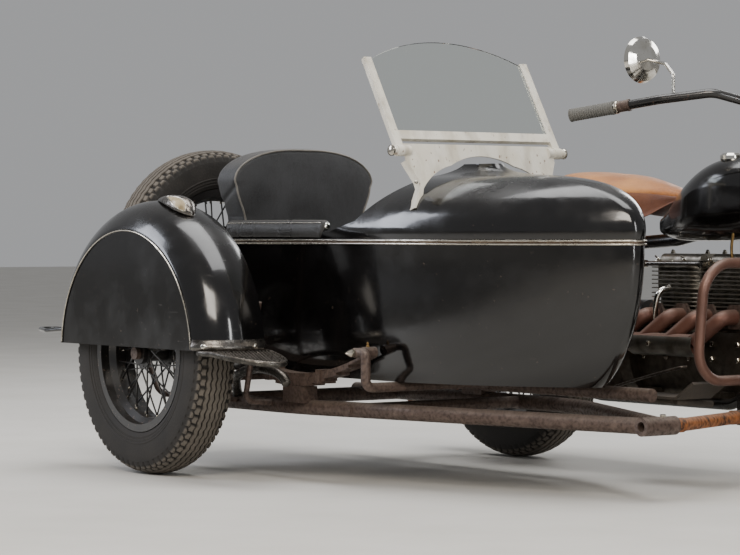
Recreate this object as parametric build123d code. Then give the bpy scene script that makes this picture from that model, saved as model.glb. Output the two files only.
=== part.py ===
from build123d import *
import os
from math import acos, asin, atan2, cos, degrees, radians, sin, sqrt

# Sidecar motorcycle, sizes in millimetres.
# Model frame: X forward from the rear axle, Y to the left of the motorcycle, Z up from the floor.
# The written pieces are moved so that the origin lies under the middle of the whole vehicle.
ORIGIN_X = 600
ORIGIN_Y = -440

# Wheels and tyres, one size all round
TYRE_RADIUS = 338
TYRE_WIDTH = 130
TYRE_SEAT_GAP = 0.4
RIM_SEAT_RADIUS = 203
RIM_FLANGE_RADIUS = 219
RIM_WIDTH = 110
RIM_WELL_RADIUS = 188
RIM_WELL_WIDTH = 24
RIM_SHEET = 5
HUB_RADIUS = 24
HUB_FLANGE_RADIUS = 42
HUB_FLANGE_PLACE = 34
HUB_FLANGE_SHEET = 5
HUB_LENGTH = 104
HUB_CAP_RADIUS = 30
AXLE_DIAMETER = 20
AXLE_NUT = 34
AXLE_GAP = 0.3
DRUM_RADIUS = 92
DRUM_WIDTH = 34
SPOKES_PER_SIDE = 20
SPOKE_SIZE = 3.6
SPOKE_LEAN = 54
SPOKE_SPREAD = 4

# Where the wheels stand
WHEELBASE = 1550
SIDECAR_AXLE_X = -150
TRACK = 1200

# Steering
RAKE = 27
TRAIL_POINT_X = WHEELBASE - 343
TRAIL_POINT_Z = TYRE_RADIUS + 512
HEAD_TUBE_TOP = 100
HEAD_TUBE_BOTTOM = -62
HEAD_TUBE_DIAMETER = 56
STEM_DIAMETER = 34
STEM_GAP = 0.4
CROWN_THICKNESS = 18
CROWN_GAP = 1
FORK_LEG_OFFSET = 112
FORK_LEG_FORWARD = 42
FORK_LEG_DIAMETER = 34
CROWN_REAR = -24
BRAKE_SIDE = 78

# Motorcycle frame
FRAME_TUBE = 34
CRADLE_Y = 122
CRADLE_Z = 212
DOWN_TUBE_X = TRAIL_POINT_X - 99
DOWN_TUBE_TOP = 25
DOWN_TUBE_KNEE = (TRAIL_POINT_X - 71, 560)
SEAT_TUBE_X = 440
PLUNGER_Y = 130
PLUNGER_TOP = TYRE_RADIUS + 102
PLUNGER_BOTTOM = TYRE_RADIUS - 96
PLUNGER_LUG = 56
PLUNGER_LUG_RISE = 21
STAY_TUBE = 26
STAY_TOP_X = 330
STAY_TOP_Z = 560
SADDLE_POST_Z = 755.7
SADDLE_SPRING_Z = 755.7
SADDLE_HOLLOW_TOP = 756
SEAT_CROSS_Z = 229
TANK_CHANNEL = 24
TANK_SUPPORTS = [(770, 669), (1080, 803)]

# Engine
CYLINDER_PITCH = 104
FIRST_CYLINDER_X = 1010
CYLINDER_COUNT = 4
CRANKCASE_TOP = 402
CRANKCASE_BOTTOM = 199
CRANKCASE_HALF_WIDTH = 96
CRANKCASE_REAR = 640
CRANKCASE_FRONT = 1072
GEARBOX_REAR = 462
FLYWHEEL_RADIUS = 128
GEARBOX_TOP = 392
GENERATOR_DIAMETER = 92
FLYWHEEL_WIDTH = 46
BORE_RADIUS = 44
FIN_PITCH = 11.5
FIN_THICKNESS = 3
FIN_COUNT = 10
HEAD_FIN_COUNT = 6
FIN_WIDTH = 150
FIN_CORNER = 40
HEAD_SEAT = 0.3

# Sidecar body
BODY_Y = -678
BODY_HALF_WIDTH = 280
BODY_WALL = 12
BODY_BOTTOM = 282
BELT_Z = 650
COCKPIT_EDGE_Z = 677
NOSE_RADIUS = 36
SMALLEST_NOSE = 6
TAIL_RADIUS = 110
BULGE_START_X = 560

BELT_HEIGHT = 14
BELT_DEPTH = 7
BELT_SEAT = 0.5
RAIL_DIAMETER = 34
RAIL_REAR = -150
RAIL_FRONT = 318

# Sidecar seat
SEAT_FRONT = 330
SEAT_LENGTH = 460
SEAT_HALF = 238
SEAT_BASE = 400
SEAT_THICKNESS = 110
BACK_X = -150
BACK_THICKNESS = 112
BACK_HALF = 258
BACK_TOP = 912
BACK_SHOULDER_WIDTH = 150
BACK_SHOULDER_HEIGHT = 112

# Sidecar fender
FENDER_CROWN_RADIUS = TYRE_RADIUS + 89
FENDER_BEAD_RADIUS = TYRE_RADIUS + 5
FENDER_OUTER_Y = -TRACK - 98
FENDER_CROWN_Y = -TRACK + 20
FENDER_INNER_Y = -TRACK + 96
FENDER_INNER_DROP = 18
FENDER_SHEET = 4
FENDER_STAY = 16
# Fender stays: place of the foot on the outer tube, angle round the axle of the upper end
FENDER_STAY_PLACES = [(150, 22), (-20, 62), (-290, 150)]
BEAD_WIDTH = 7
BEAD_HEIGHT = 2.5
FENDER_LOWER_Z = 358
STEP_SHEET = 14
STEP_DIP = 27

# Sidecar chassis
CHASSIS_TUBE = 42
CHASSIS_Z = 200
SPRING_OUTER_Y = -990
SPRING_INNER_Y = -366
SPRING_CENTRE_X = 261
SPRING_EYE_HALF = 311
SPRING_EYE_Z = 351
SPRING_DROP = 58
SPRING_LEAF = 7
SPRING_WIDTH = 45
SPRING_LEAVES = 5

# Windscreen
PIVOT_X = 653
PIVOT_Z = 890
PIVOT_HALF = 268
SCREEN_LEAN = 30.7
SCREEN_BAR_LENGTH = 285
SCREEN_GLASS_CROWN = 350
SCREEN_BAR_WIDTH = 24
SCREEN_GLASS_THICKNESS = 6
BRACKET_SHEET = 4
BRACKET_FOLD = 24
BRACKET_FOOT_X = 701
BRACKET_FOOT_Z = 752
BRACKET_CUT_CROWN_Z = 878
BRACKET_TOP_Z = 908
BRACKET_TUBE = 26
BRACKET_REACH = 215
SPRING_PIN = 14
SCREEN_CHANNEL_Z = 46
SCREEN_CHANNEL_HEIGHT = 26
PIVOT_EYE = 30
PIVOT_PIN = 14

# Sidecar chassis places
CENTRE_TUBE = 35
CENTRE_TUBE_Y = -600
CENTRE_TUBE_REAR = 400
CENTRE_TUBE_FRONT = 1250
LINK_DIAMETER = 38
SOCKET_BORE = 26
SOCKET_DEPTH = 60
OUTER_TUBE_Y = -988
CLAMP_X = 1290
CLAMP_Y = -640
CROSS_X = -125
REAR_LINK_Y = -158
FRONT_LUG_Y = 152
STRUT_FOOT_Y = -300
STRUT_X = 200
LAMP_X = -30

# Motorcycle places
BACKBONE_Z = 655
PORT_Z = 446
COLLECTOR_Y = -158
COLLECTOR_Z = 372
PIPE_DIAMETER = 42
SHIELD_SHEET = 2.5
SILENCER_FRONT = 440
SILENCER_REAR = 40
SILENCER_Y = -206
SILENCER_Z = 290
TANK_CAP_X = 980
TANK_CAP_Z = 870

# Fenders, lamps and controls of the motorcycle
REAR_FENDER_RADIUS = TYRE_RADIUS + 60
REAR_FENDER_HALF = 90
REAR_FENDER_SKIRT = 150
FRONT_FENDER_RADIUS = TYRE_RADIUS + 44
FRONT_FENDER_HALF = 88
FRONT_FENDER_SKIRT = 150
FRONT_FENDER_LUGS = (-365, -285)
FRONT_SPRING_EYE_X = WHEELBASE + 10
FRONT_SPRING_LEAVES = 5
HEADLAMP_X = TRAIL_POINT_X + 61
HEADLAMP_Z = TRAIL_POINT_Z + 90
LENS_EDGE = 110
BAR_DIAMETER = 25
BAR_CLAMP_FORWARD = 24
# The bar's bends, right side, and its end: place from the steering axis, from the middle, height
BAR_RISE_BEND = (TRAIL_POINT_X - 141, 215, TRAIL_POINT_Z + 196)
BAR_SWEEP_BEND = (TRAIL_POINT_X - 257, 300, TRAIL_POINT_Z + 180)
BAR_END = (TRAIL_POINT_X - 483, 402, TRAIL_POINT_Z + 145)
MIRROR_PLACE = (BAR_SWEEP_BEND[0] - 98, -250, BAR_SWEEP_BEND[2] + 114)
CRASH_TUBE = 28
CRASH_HALF = 316
CRASH_TOP = 595
CRASH_LOW = 283
FOOTBOARD_Z = 230
CHAIN_Y = 86
CHAIN_FRONT_Z = 300
REAR_SPROCKET_RADIUS = 94
SPROCKET_SHEET = 6

# Spare wheel
SPARE_X = -652
SPARE_Z = 588


def rod(start, end, diameter):
    """A straight round bar from one point to another."""
    first = Vector(*start)
    line = Vector(*end) - first
    return extrude(Plane(origin=first, z_dir=line) * Circle(diameter / 2), line.length)


def square_bar(start, end, size):
    """A straight square bar from one point to another."""
    first = Vector(*start)
    line = Vector(*end) - first
    return extrude(Plane(origin=first, z_dir=line) * Rectangle(size, size), line.length)


def bent_tube(points, diameter, radii):
    """A round bar that follows straight runs joined by tangent arcs, one radius for each corner."""
    path = FilletPolyline(*points, radius=radii)
    start = Plane(origin=path @ 0, z_dir=path % 0)
    return sweep(start * Circle(diameter / 2), path=path)


def turned(outline, axis=Axis.Z):
    """A solid of revolution from (radius, height) points in the XZ plane."""
    return revolve(make_face(Plane.XZ * Polyline(*outline, close=True)), axis)


def block(x_from, x_to, y_from, y_to, z_from, z_to):
    """A box given by its two corners."""
    size = (x_to - x_from, y_to - y_from, z_to - z_from)
    middle = ((x_from + x_to) / 2, (y_from + y_to) / 2, (z_from + z_to) / 2)
    return Pos(*middle) * Box(*size)


def side_plate(points, y_from, y_to):
    """A plate with an outline of (x, z) points, from one side place to another."""
    face = make_face(Plane.XZ * Polyline(*points, close=True))
    return extrude(Pos(0, y_to, 0) * face, y_to - y_from, dir=(0, -1, 0))


def to_steering(along, forward, y=0):
    """The point at a distance up the steering axis and forward of it."""
    rake = radians(RAKE)
    x = TRAIL_POINT_X - along * sin(rake) + forward * cos(rake)
    z = TRAIL_POINT_Z + along * cos(rake) + forward * sin(rake)
    return (x, y, z)


def wheel_place(x, y, z=TYRE_RADIUS):
    """Turns a wheel made about Z so that its axle lies along Y."""
    return Pos(x, y, z) * Rot(X=-90)


def mirrored(shape):
    """A piece and its mirror image across the motorcycle's centre plane."""
    return shape + mirror(shape, Plane.XZ)


def tyre():
    """A balloon tyre: bead, flank, shoulder and a crowned tread."""
    half = TYRE_WIDTH / 2
    seat = RIM_SEAT_RADIUS + TYRE_SEAT_GAP
    lip = RIM_FLANGE_RADIUS + TYRE_SEAT_GAP
    side = [
        (seat, RIM_WIDTH / 2 - 6.6),
        (lip, RIM_WIDTH / 2 - 4.8),
        (lip + 2, RIM_WIDTH / 2 + 1),
        (lip + 24, half - 3),
        (272, half),
        (306, half - 3),
        (324, half - 13),
    ]
    profile = side + [(TYRE_RADIUS - 6, 34), (TYRE_RADIUS, 14)]
    other = [(radius, -height) for radius, height in reversed(profile)]
    return turned(profile + other)


def rim():
    """A drop-centre rim with upright flanges."""
    half = RIM_WIDTH / 2
    well = RIM_WELL_WIDTH / 2
    outer = [
        (RIM_FLANGE_RADIUS, half),
        (RIM_FLANGE_RADIUS, half - 4),
        (RIM_SEAT_RADIUS, half - 6),
        (RIM_SEAT_RADIUS, well + 15),
        (RIM_WELL_RADIUS, well),
    ]
    inner = [
        (RIM_WELL_RADIUS - RIM_SHEET, well + 2),
        (RIM_SEAT_RADIUS - RIM_SHEET, well + 17),
        (RIM_SEAT_RADIUS - RIM_SHEET, half),
    ]
    outer_back = [(radius, -height) for radius, height in reversed(outer)]
    inner_back = [(radius, -height) for radius, height in inner]
    return turned(outer + outer_back + list(reversed(inner_back)) + inner)


def hub(drum):
    """A turned hub with two spoke flanges, and a brake drum on its inner side when asked."""
    flange_in = HUB_FLANGE_PLACE
    flange_out = HUB_FLANGE_PLACE + HUB_FLANGE_SHEET
    end = HUB_LENGTH / 2
    bore = AXLE_DIAMETER / 2 + AXLE_GAP
    outline = [
        (bore, -end),
        (HUB_CAP_RADIUS, -end),
        (HUB_CAP_RADIUS, -flange_out),
        (HUB_FLANGE_RADIUS, -flange_out),
        (HUB_FLANGE_RADIUS, -flange_in),
        (HUB_RADIUS, -flange_in),
        (HUB_RADIUS, flange_in),
        (HUB_FLANGE_RADIUS, flange_in),
        (HUB_FLANGE_RADIUS, flange_out),
        (HUB_CAP_RADIUS, flange_out),
        (HUB_CAP_RADIUS, end),
        (bore, end),
    ]
    shape = turned(outline)
    if drum:
        ring = Circle(DRUM_RADIUS) - Circle(bore)
        shape = shape + extrude(Pos(0, 0, -flange_out - DRUM_WIDTH) * ring, DRUM_WIDTH)
    return shape


def wire_wheel(drum):
    """Rim, hub and tangent spokes that cross between the two hub flanges and the rim."""
    bars = []
    step = 360 / SPOKES_PER_SIDE
    for side in (1, -1):
        for index in range(SPOKES_PER_SIDE):
            lean = SPOKE_LEAN if index % 2 == 0 else -SPOKE_LEAN
            spread = SPOKE_SPREAD if index % 2 == 0 else -SPOKE_SPREAD
            hub_angle = radians(step * index + (step / 2 if side < 0 else 0))
            rim_angle = hub_angle + radians(lean)
            hub_radius = HUB_FLANGE_RADIUS - 6
            rim_radius = RIM_WELL_RADIUS - 2
            height = side * (HUB_FLANGE_PLACE + HUB_FLANGE_SHEET / 2 + spread / 2)
            start = (hub_radius * cos(hub_angle), hub_radius * sin(hub_angle), height)
            end = (rim_radius * cos(rim_angle), rim_radius * sin(rim_angle), side * 6)
            bars.append(square_bar(start, end, SPOKE_SIZE))
    return rim().fuse(hub(drum), *bars)


def rear_wheel():
    """The rear wheel with the chain wheel on its left side."""
    bore = AXLE_DIAMETER / 2 + AXLE_GAP
    inner_face = CHAIN_Y - SPROCKET_SHEET / 2
    ring = Circle(46) - Circle(bore)
    carrier = extrude(Pos(0, 0, HUB_FLANGE_PLACE + 2) * ring, inner_face - HUB_FLANGE_PLACE)
    disc = extrude(Pos(0, 0, inner_face) * (Circle(REAR_SPROCKET_RADIUS) - Circle(bore)), SPROCKET_SHEET)
    return wire_wheel(True).fuse(carrier, disc)


def plan_outline(nose_x, tail_x, half_width, inset=0, z=0):
    """The body seen from above: parallel sides, long bow curves to a round nose, a rounded tail."""
    nose_radius = max(NOSE_RADIUS - inset, SMALLEST_NOSE)
    half = half_width - inset
    front = nose_x - inset
    nose_centre = front - nose_radius
    run = nose_centre - BULGE_START_X
    big = (run**2 + half**2 - nose_radius**2) / (2 * (half - nose_radius))
    angle = atan2(run, big - half)
    join_x = nose_centre + nose_radius * sin(angle)
    join_y = nose_radius * cos(angle)
    mid = angle / 2
    mid_x = BULGE_START_X + big * sin(mid)
    mid_y = half - big + big * cos(mid)
    tail_radius = TAIL_RADIUS - inset
    back = tail_x + inset
    corner = tail_radius * (1 - sqrt(0.5))
    pieces = [
        Line((back + tail_radius, half), (BULGE_START_X, half)),
        ThreePointArc((BULGE_START_X, half), (mid_x, mid_y), (join_x, join_y)),
        ThreePointArc((join_x, join_y), (front, 0), (join_x, -join_y)),
        ThreePointArc((join_x, -join_y), (mid_x, -mid_y), (BULGE_START_X, -half)),
        Line((BULGE_START_X, -half), (back + tail_radius, -half)),
        ThreePointArc(
            (back + tail_radius, -half),
            (back + corner, -half + corner),
            (back, -half + tail_radius),
        ),
        Line((back, -half + tail_radius), (back, half - tail_radius)),
        ThreePointArc(
            (back, half - tail_radius),
            (back + corner, half - corner),
            (back + tail_radius, half),
        ),
    ]
    return Pos(0, BODY_Y, z) * make_face(Curve() + pieces)


# Tub sections: height, nose place, tail place, half width
TUB_SECTIONS = [
    (BODY_BOTTOM, 1140, -470, BODY_HALF_WIDTH - 26),
    (340, 1200, -524, BODY_HALF_WIDTH - 8),
    (470, 1266, -566, BODY_HALF_WIDTH - 1),
    (BELT_Z, 1289, -580, BODY_HALF_WIDTH),
]


def tub_solid(inset, floor):
    """The hull below the belt as a stack of plan outlines."""
    faces = []
    for z, nose_x, tail_x, half in TUB_SECTIONS:
        lifted = max(z, BODY_BOTTOM + floor)
        faces.append(plan_outline(nose_x, tail_x, half, inset, lifted))
    return loft(faces)


def sidecar_tub():
    """Hollow hull: the same stack of outlines set in by the wall, above a floor as thick."""
    shell = tub_solid(0, 0) - tub_solid(BODY_WALL, BODY_WALL)
    floor = BODY_BOTTOM + BODY_WALL
    rear = SEAT_FRONT - SEAT_LENGTH + 10
    riser = body_block(rear, SEAT_FRONT - 25, SEAT_HALF - 20, floor, SEAT_BASE - 0.3)
    return shell + riser


# Cowl sections: height, nose place, half width, nose radius
COWL_SECTIONS = [
    (BELT_Z, 1289, BODY_HALF_WIDTH, NOSE_RADIUS),
    (720, 1284, BODY_HALF_WIDTH - 5, 38),
    (797, 1148, BODY_HALF_WIDTH - 84, 60),
    (824, 938, BODY_HALF_WIDTH - 158, 50),
    (858, 740, BODY_HALF_WIDTH - 244, 20),
]
# The cockpit's edge from the side, from the rail at the rear to the scuttle's crown
COCKPIT_EDGE = [(356, COCKPIT_EDGE_Z), (470, 706), (582, 801), (650, 900)]
COCKPIT_REAR = -262


def cowl_outline(z, nose_x, half, nose_radius, inset, rear):
    """One level of the cowl: a flat rear end, sides that bow in and a round nose."""
    half = half - inset
    nose_radius = max(nose_radius - inset, SMALLEST_NOSE)
    front = nose_x - inset
    start_x = min(BULGE_START_X, nose_x - 400)
    nose_centre = front - nose_radius
    run = nose_centre - start_x
    big = (run**2 + half**2 - nose_radius**2) / (2 * (half - nose_radius))
    angle = atan2(run, big - half)
    join = (nose_centre + nose_radius * sin(angle), nose_radius * cos(angle))
    mid = (start_x + big * sin(angle / 2), half - big + big * cos(angle / 2))
    pieces = [
        Line((rear, half), (start_x, half)),
        ThreePointArc((start_x, half), mid, join),
        ThreePointArc(join, (front, 0), (join[0], -join[1])),
        ThreePointArc((join[0], -join[1]), (mid[0], -mid[1]), (start_x, -half)),
        Line((start_x, -half), (rear, -half)),
        Line((rear, -half), (rear, half)),
    ]
    return Pos(0, BODY_Y, z) * make_face(Curve() + pieces)


def cowl_block(gap):
    """The cowl as a full block, larger all round by a gap, for what seats on it."""
    return loft([cowl_outline(*row, -gap, COCKPIT_REAR) for row in COWL_SECTIONS])


def sidecar_cowl():
    """The rounded cowl over the feet, hollow, its rear edge sweeping up from the cockpit's rim."""
    wall = BODY_WALL
    outer = cowl_block(0)
    inner = loft(
        [
            cowl_outline(z - wall, nose, half, nose_radius, wall, COCKPIT_REAR - 2)
            for z, nose, half, nose_radius in COWL_SECTIONS
        ]
    )
    shell = outer - inner
    rear = COCKPIT_REAR - 10
    top = COCKPIT_EDGE[-1][1]
    opening = [(rear, COCKPIT_EDGE_Z)] + COCKPIT_EDGE + [(rear, top)]
    return shell - side_plate(opening, BODY_Y - 400, BODY_Y + 400)


def rear_deck():
    """The lid behind the seat back: a crowned plate over the tail."""
    levels = [(BELT_Z, 0), (COCKPIT_EDGE_Z, 8), (COCKPIT_EDGE_Z + 16, 50)]
    nose = TUB_SECTIONS[-1][1]
    tail = TUB_SECTIONS[-1][2]
    solid = loft([plan_outline(nose, tail, BODY_HALF_WIDTH, inset, z) for z, inset in levels])
    front = COCKPIT_REAR - 0.4
    return solid & block(tail - 50, front, BODY_Y - 400, BODY_Y + 400, BELT_Z - 50, 800)


def belt_moulding():
    """A half-round bead round the joint of tub and cowl."""
    nose = TUB_SECTIONS[-1][1]
    tail = TUB_SECTIONS[-1][2]
    low = BELT_Z - BELT_HEIGHT / 2
    outer = plan_outline(nose, tail, BODY_HALF_WIDTH, -BELT_DEPTH, low)
    inner = plan_outline(nose, tail, BODY_HALF_WIDTH, -BELT_SEAT, low)
    return extrude(outer - inner, BELT_HEIGHT) - cowl_block(BELT_SEAT)


def body_block(x_from, x_to, half, z_from, z_to):
    """A box centred on the sidecar body."""
    return block(x_from, x_to, BODY_Y - half, BODY_Y + half, z_from, z_to)


def seat_cushion():
    """The seat squab: a box with rounded upper edges."""
    pad = body_block(SEAT_FRONT - SEAT_LENGTH, SEAT_FRONT, SEAT_HALF, SEAT_BASE, SEAT_BASE + SEAT_THICKNESS)
    top = pad.faces().sort_by(Axis.Z)[-1].edges()
    return fillet(top, 28)


def seat_back():
    """The leather seat back: a tall rounded panel that leans back a little."""
    half = BACK_HALF
    low = SEAT_BASE + SEAT_THICKNESS + 1
    flat = half - BACK_SHOULDER_WIDTH
    shoulder = BACK_TOP - BACK_SHOULDER_HEIGHT
    bow_y = half - 0.31 * BACK_SHOULDER_WIDTH
    bow_z = BACK_TOP - 0.31 * BACK_SHOULDER_HEIGHT
    outline = [
        Line((-half, low), (-half, shoulder)),
        ThreePointArc((-half, shoulder), (-bow_y, bow_z), (-flat, BACK_TOP)),
        Line((-flat, BACK_TOP), (flat, BACK_TOP)),
        ThreePointArc((flat, BACK_TOP), (bow_y, bow_z), (half, shoulder)),
        Line((half, shoulder), (half, low)),
        Line((half, low), (-half, low)),
    ]
    front = Plane(origin=(BACK_X, BODY_Y, 0), x_dir=(0, -1, 0), z_dir=(-1, 0, 0))
    return extrude(front * make_face(Curve() + outline), BACK_THICKNESS)


def cockpit_rail():
    """The padded arm rail along the cockpit's outer edge, with a round front end."""
    z = COCKPIT_EDGE_Z + RAIL_DIAMETER / 2 + 0.3
    y = BODY_Y - BODY_HALF_WIDTH + 12
    bar = rod((RAIL_REAR, y, z), (RAIL_FRONT, y, z), RAIL_DIAMETER)
    nose = Pos(RAIL_FRONT, y, z) * Sphere(RAIL_DIAMETER / 2)
    return bar + nose


def screen_point(along, side, out=0):
    """A point on the windscreen: up the glass from the pivots, across, and out in front of it."""
    lean = radians(SCREEN_LEAN)
    x = PIVOT_X - along * sin(lean) + out * cos(lean)
    z = PIVOT_Z + along * cos(lean) + out * sin(lean)
    return (x, BODY_Y + side, z)


def screen_plane():
    """The glass's own plane: first direction to the left, second up the glass."""
    lean = radians(SCREEN_LEAN)
    return Plane(origin=screen_point(0, 0), x_dir=(0, 1, 0), z_dir=(cos(lean), 0, sin(lean)))


def windscreen_glass():
    """Flat glass with a bowed top edge."""
    half = PIVOT_HALF - 12
    low = SCREEN_CHANNEL_Z
    outline = [
        Line((-half, low), (half, low)),
        Line((half, low), (half, SCREEN_BAR_LENGTH)),
        ThreePointArc((half, SCREEN_BAR_LENGTH), (0, SCREEN_GLASS_CROWN), (-half, SCREEN_BAR_LENGTH)),
        Line((-half, SCREEN_BAR_LENGTH), (-half, low)),
    ]
    sheet = extrude(screen_plane() * make_face(Curve() + outline), SCREEN_GLASS_THICKNESS / 2, both=True)
    return sheet - windscreen_frame()


def windscreen_frame():
    """Two side bars slotted for the glass, a channel across and the pivot eyes."""
    wide = SCREEN_BAR_WIDTH
    deep = SCREEN_GLASS_THICKNESS + 8
    plane = screen_plane()
    bars = []
    for side in (-1, 1):
        centre = Pos(side * PIVOT_HALF, SCREEN_BAR_LENGTH / 2 + 4)
        bars.append(extrude(plane * (centre * Rectangle(wide, SCREEN_BAR_LENGTH)), deep / 2, both=True))
    channel = Pos(0, SCREEN_CHANNEL_Z) * Rectangle(2 * PIVOT_HALF, SCREEN_CHANNEL_HEIGHT)
    bars.append(extrude(plane * channel, deep / 2, both=True))
    eyes = []
    holes = []
    for side in (-1, 1):
        inner = BODY_Y + side * (PIVOT_HALF - wide / 2)
        outer = BODY_Y + side * (PIVOT_HALF + wide / 2)
        eyes.append(rod((PIVOT_X, inner, PIVOT_Z), (PIVOT_X, outer, PIVOT_Z), PIVOT_EYE))
        holes.append(rod((PIVOT_X, inner - side, PIVOT_Z), (PIVOT_X, outer + side, PIVOT_Z), PIVOT_PIN + 0.6))
    frame = bars[0].fuse(*bars[1:], *eyes)
    for hole in holes:
        frame = frame - hole
    slot_half = PIVOT_HALF - 12 + 0.3
    slot = extrude(
        plane * (Pos(0, SCREEN_CHANNEL_Z + 300) * Rectangle(2 * slot_half, 600)),
        SCREEN_GLASS_THICKNESS / 2 + 0.3,
        both=True,
    )
    return frame - slot


def windscreen_bracket():
    """The painted sheet that stands on the cowl, arched underneath, with the two pivot pins."""
    rise = BRACKET_TOP_Z - BRACKET_FOOT_Z
    lean = atan2(BRACKET_FOOT_X - PIVOT_X, PIVOT_Z - BRACKET_FOOT_Z)
    foot = (BRACKET_FOOT_X, BODY_Y, BRACKET_FOOT_Z)
    plane = Plane(origin=foot, x_dir=(0, 1, 0), z_dir=(cos(lean), 0, sin(lean)))
    top = rise / cos(lean)
    crown = (BRACKET_CUT_CROWN_Z - BRACKET_FOOT_Z) / cos(lean)
    half = PIVOT_HALF - 14
    waist = half - 28
    foot_out = half + 8
    outline = [
        Line((-half, top), (half, top)),
        Line((half, top), (half, top - 46)),
        Line((half, top - 46), (waist, 62)),
        Line((waist, 62), (waist - 1, 46)),
        Line((waist - 1, 46), (foot_out, -14)),
        Line((foot_out, -14), (foot_out - 24, -14)),
        Line((foot_out - 24, -14), (waist - 10, 41)),
        ThreePointArc((waist - 10, 41), (waist - 52, 78), (waist - 119, crown - 27)),
        ThreePointArc((waist - 119, crown - 27), (0, crown), (119 - waist, crown - 27)),
        ThreePointArc((119 - waist, crown - 27), (52 - waist, 78), (10 - waist, 41)),
        Line((10 - waist, 41), (24 - foot_out, -14)),
        Line((24 - foot_out, -14), (-foot_out, -14)),
        Line((-foot_out, -14), (1 - waist, 46)),
        Line((1 - waist, 46), (-waist, 62)),
        Line((-waist, 62), (-half, top - 46)),
        Line((-half, top - 46), (-half, top)),
    ]
    fold = [(half, top - 46), (waist, 62), (waist - 1, 46), (foot_out, -14), (foot_out - 3.5, -14),
            (waist - 4.5, 46), (waist - 3.5, 62), (half - 3.5, top - 46)]
    sheet = extrude(plane * make_face(Curve() + outline), BRACKET_SHEET / 2, both=True)
    back = -plane.z_dir
    for side in (-1, 1):
        strip = make_face(Polyline(*[(side * across, along) for across, along in fold], close=True))
        sheet = sheet + extrude(plane * strip, BRACKET_FOLD, dir=back)
    pins = []
    for side in (-1, 1):
        inner = BODY_Y + side * (half - 18)
        shoulder = BODY_Y + side * (PIVOT_HALF - SCREEN_BAR_WIDTH / 2 - 0.6)
        outer = BODY_Y + side * (PIVOT_HALF + SCREEN_BAR_WIDTH / 2 + 3)
        head = BODY_Y + side * (PIVOT_HALF + SCREEN_BAR_WIDTH / 2 + 12)
        start = BODY_Y + side * (PIVOT_HALF + SCREEN_BAR_WIDTH / 2 + 0.6)
        pins.append(rod((PIVOT_X, inner, PIVOT_Z), (PIVOT_X, shoulder, PIVOT_Z), PIVOT_EYE - 2))
        pins.append(rod((PIVOT_X, inner, PIVOT_Z), (PIVOT_X, outer, PIVOT_Z), PIVOT_PIN))
        pins.append(rod((PIVOT_X, start, PIVOT_Z), (PIVOT_X, head, PIVOT_Z), PIVOT_PIN + 12))
    return (sheet - cowl_block(1)).fuse(*pins)


def sidecar_fender():
    """A fender with a full side skirt, turned about the wheel's axle and cut off level."""
    sheet = FENDER_SHEET
    side = FENDER_OUTER_Y - FENDER_CROWN_Y
    far = FENDER_INNER_Y - FENDER_CROWN_Y
    top = FENDER_CROWN_RADIUS
    shoulder = FENDER_BEAD_RADIUS + 6
    lip = top - 46
    edge = top - FENDER_INNER_DROP

    def crown_middle(apex, drop, reach):
        """The middle of the arc that lies level at the crown and falls by a drop over a reach."""
        radius = (drop**2 + reach**2) / (2 * drop)
        half = asin(abs(reach) / radius) / 2
        way = 1 if reach > 0 else -1
        return (apex - radius * (1 - cos(half)), way * radius * sin(half))

    outline = [
        Line((0, side), (shoulder, side)),
        ThreePointArc((shoulder, side), crown_middle(top, top - shoulder, side), (top, 0)),
        ThreePointArc((top, 0), crown_middle(top, FENDER_INNER_DROP, far), (edge, far)),
        Line((edge, far), (lip, far)),
        Line((lip, far), (lip, far - sheet)),
        Line((lip, far - sheet), (edge, far - sheet)),
        ThreePointArc(
            (edge, far - sheet),
            crown_middle(top - sheet, FENDER_INNER_DROP - sheet, far - sheet),
            (top - sheet, 0),
        ),
        ThreePointArc(
            (top - sheet, 0),
            crown_middle(top - sheet, top - sheet - shoulder, side + sheet),
            (shoulder, side + sheet),
        ),
        Line((shoulder, side + sheet), (0, side + sheet)),
        Line((0, side + sheet), (0, side)),
    ]
    ring = revolve(Plane.XZ * make_face(Curve() + outline), Axis.Z)
    bead_section = Pos(FENDER_BEAD_RADIUS, side) * Rectangle(BEAD_WIDTH, 2 * BEAD_HEIGHT)
    bead = revolve(Plane.XZ * bead_section, Axis.Z)
    placed = Pos(SIDECAR_AXLE_X, FENDER_CROWN_Y, TYRE_RADIUS) * Rot(X=-90) * (ring + bead)
    room = block(-800, 400, FENDER_OUTER_Y - 50, FENDER_INNER_Y + 50, FENDER_LOWER_Z, 900)
    return (placed & room).fuse(fender_loop())


def leaf(x, y, eye_z, half, drop, start, thick, width):
    """One curved spring leaf below the main line: a band of an arc cut to its own length."""
    span = SPRING_EYE_HALF
    radius = (span**2 + drop**2) / (2 * drop)
    middle_z = eye_z - drop + radius
    reach = asin(half / radius)
    outer = radius + start + thick
    inner = radius + start

    def at(r, a):
        return (x + r * sin(a), middle_z - r * cos(a))

    outline = [
        ThreePointArc(at(outer, -reach), at(outer, 0), at(outer, reach)),
        Line(at(outer, reach), at(inner, reach)),
        ThreePointArc(at(inner, reach), at(inner, 0), at(inner, -reach)),
        Line(at(inner, -reach), at(outer, -reach)),
    ]
    side_face = Pos(0, y + width / 2, 0) * (Plane.XZ * make_face(Curve() + outline))
    return extrude(side_face, width, dir=(0, -1, 0))


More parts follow.
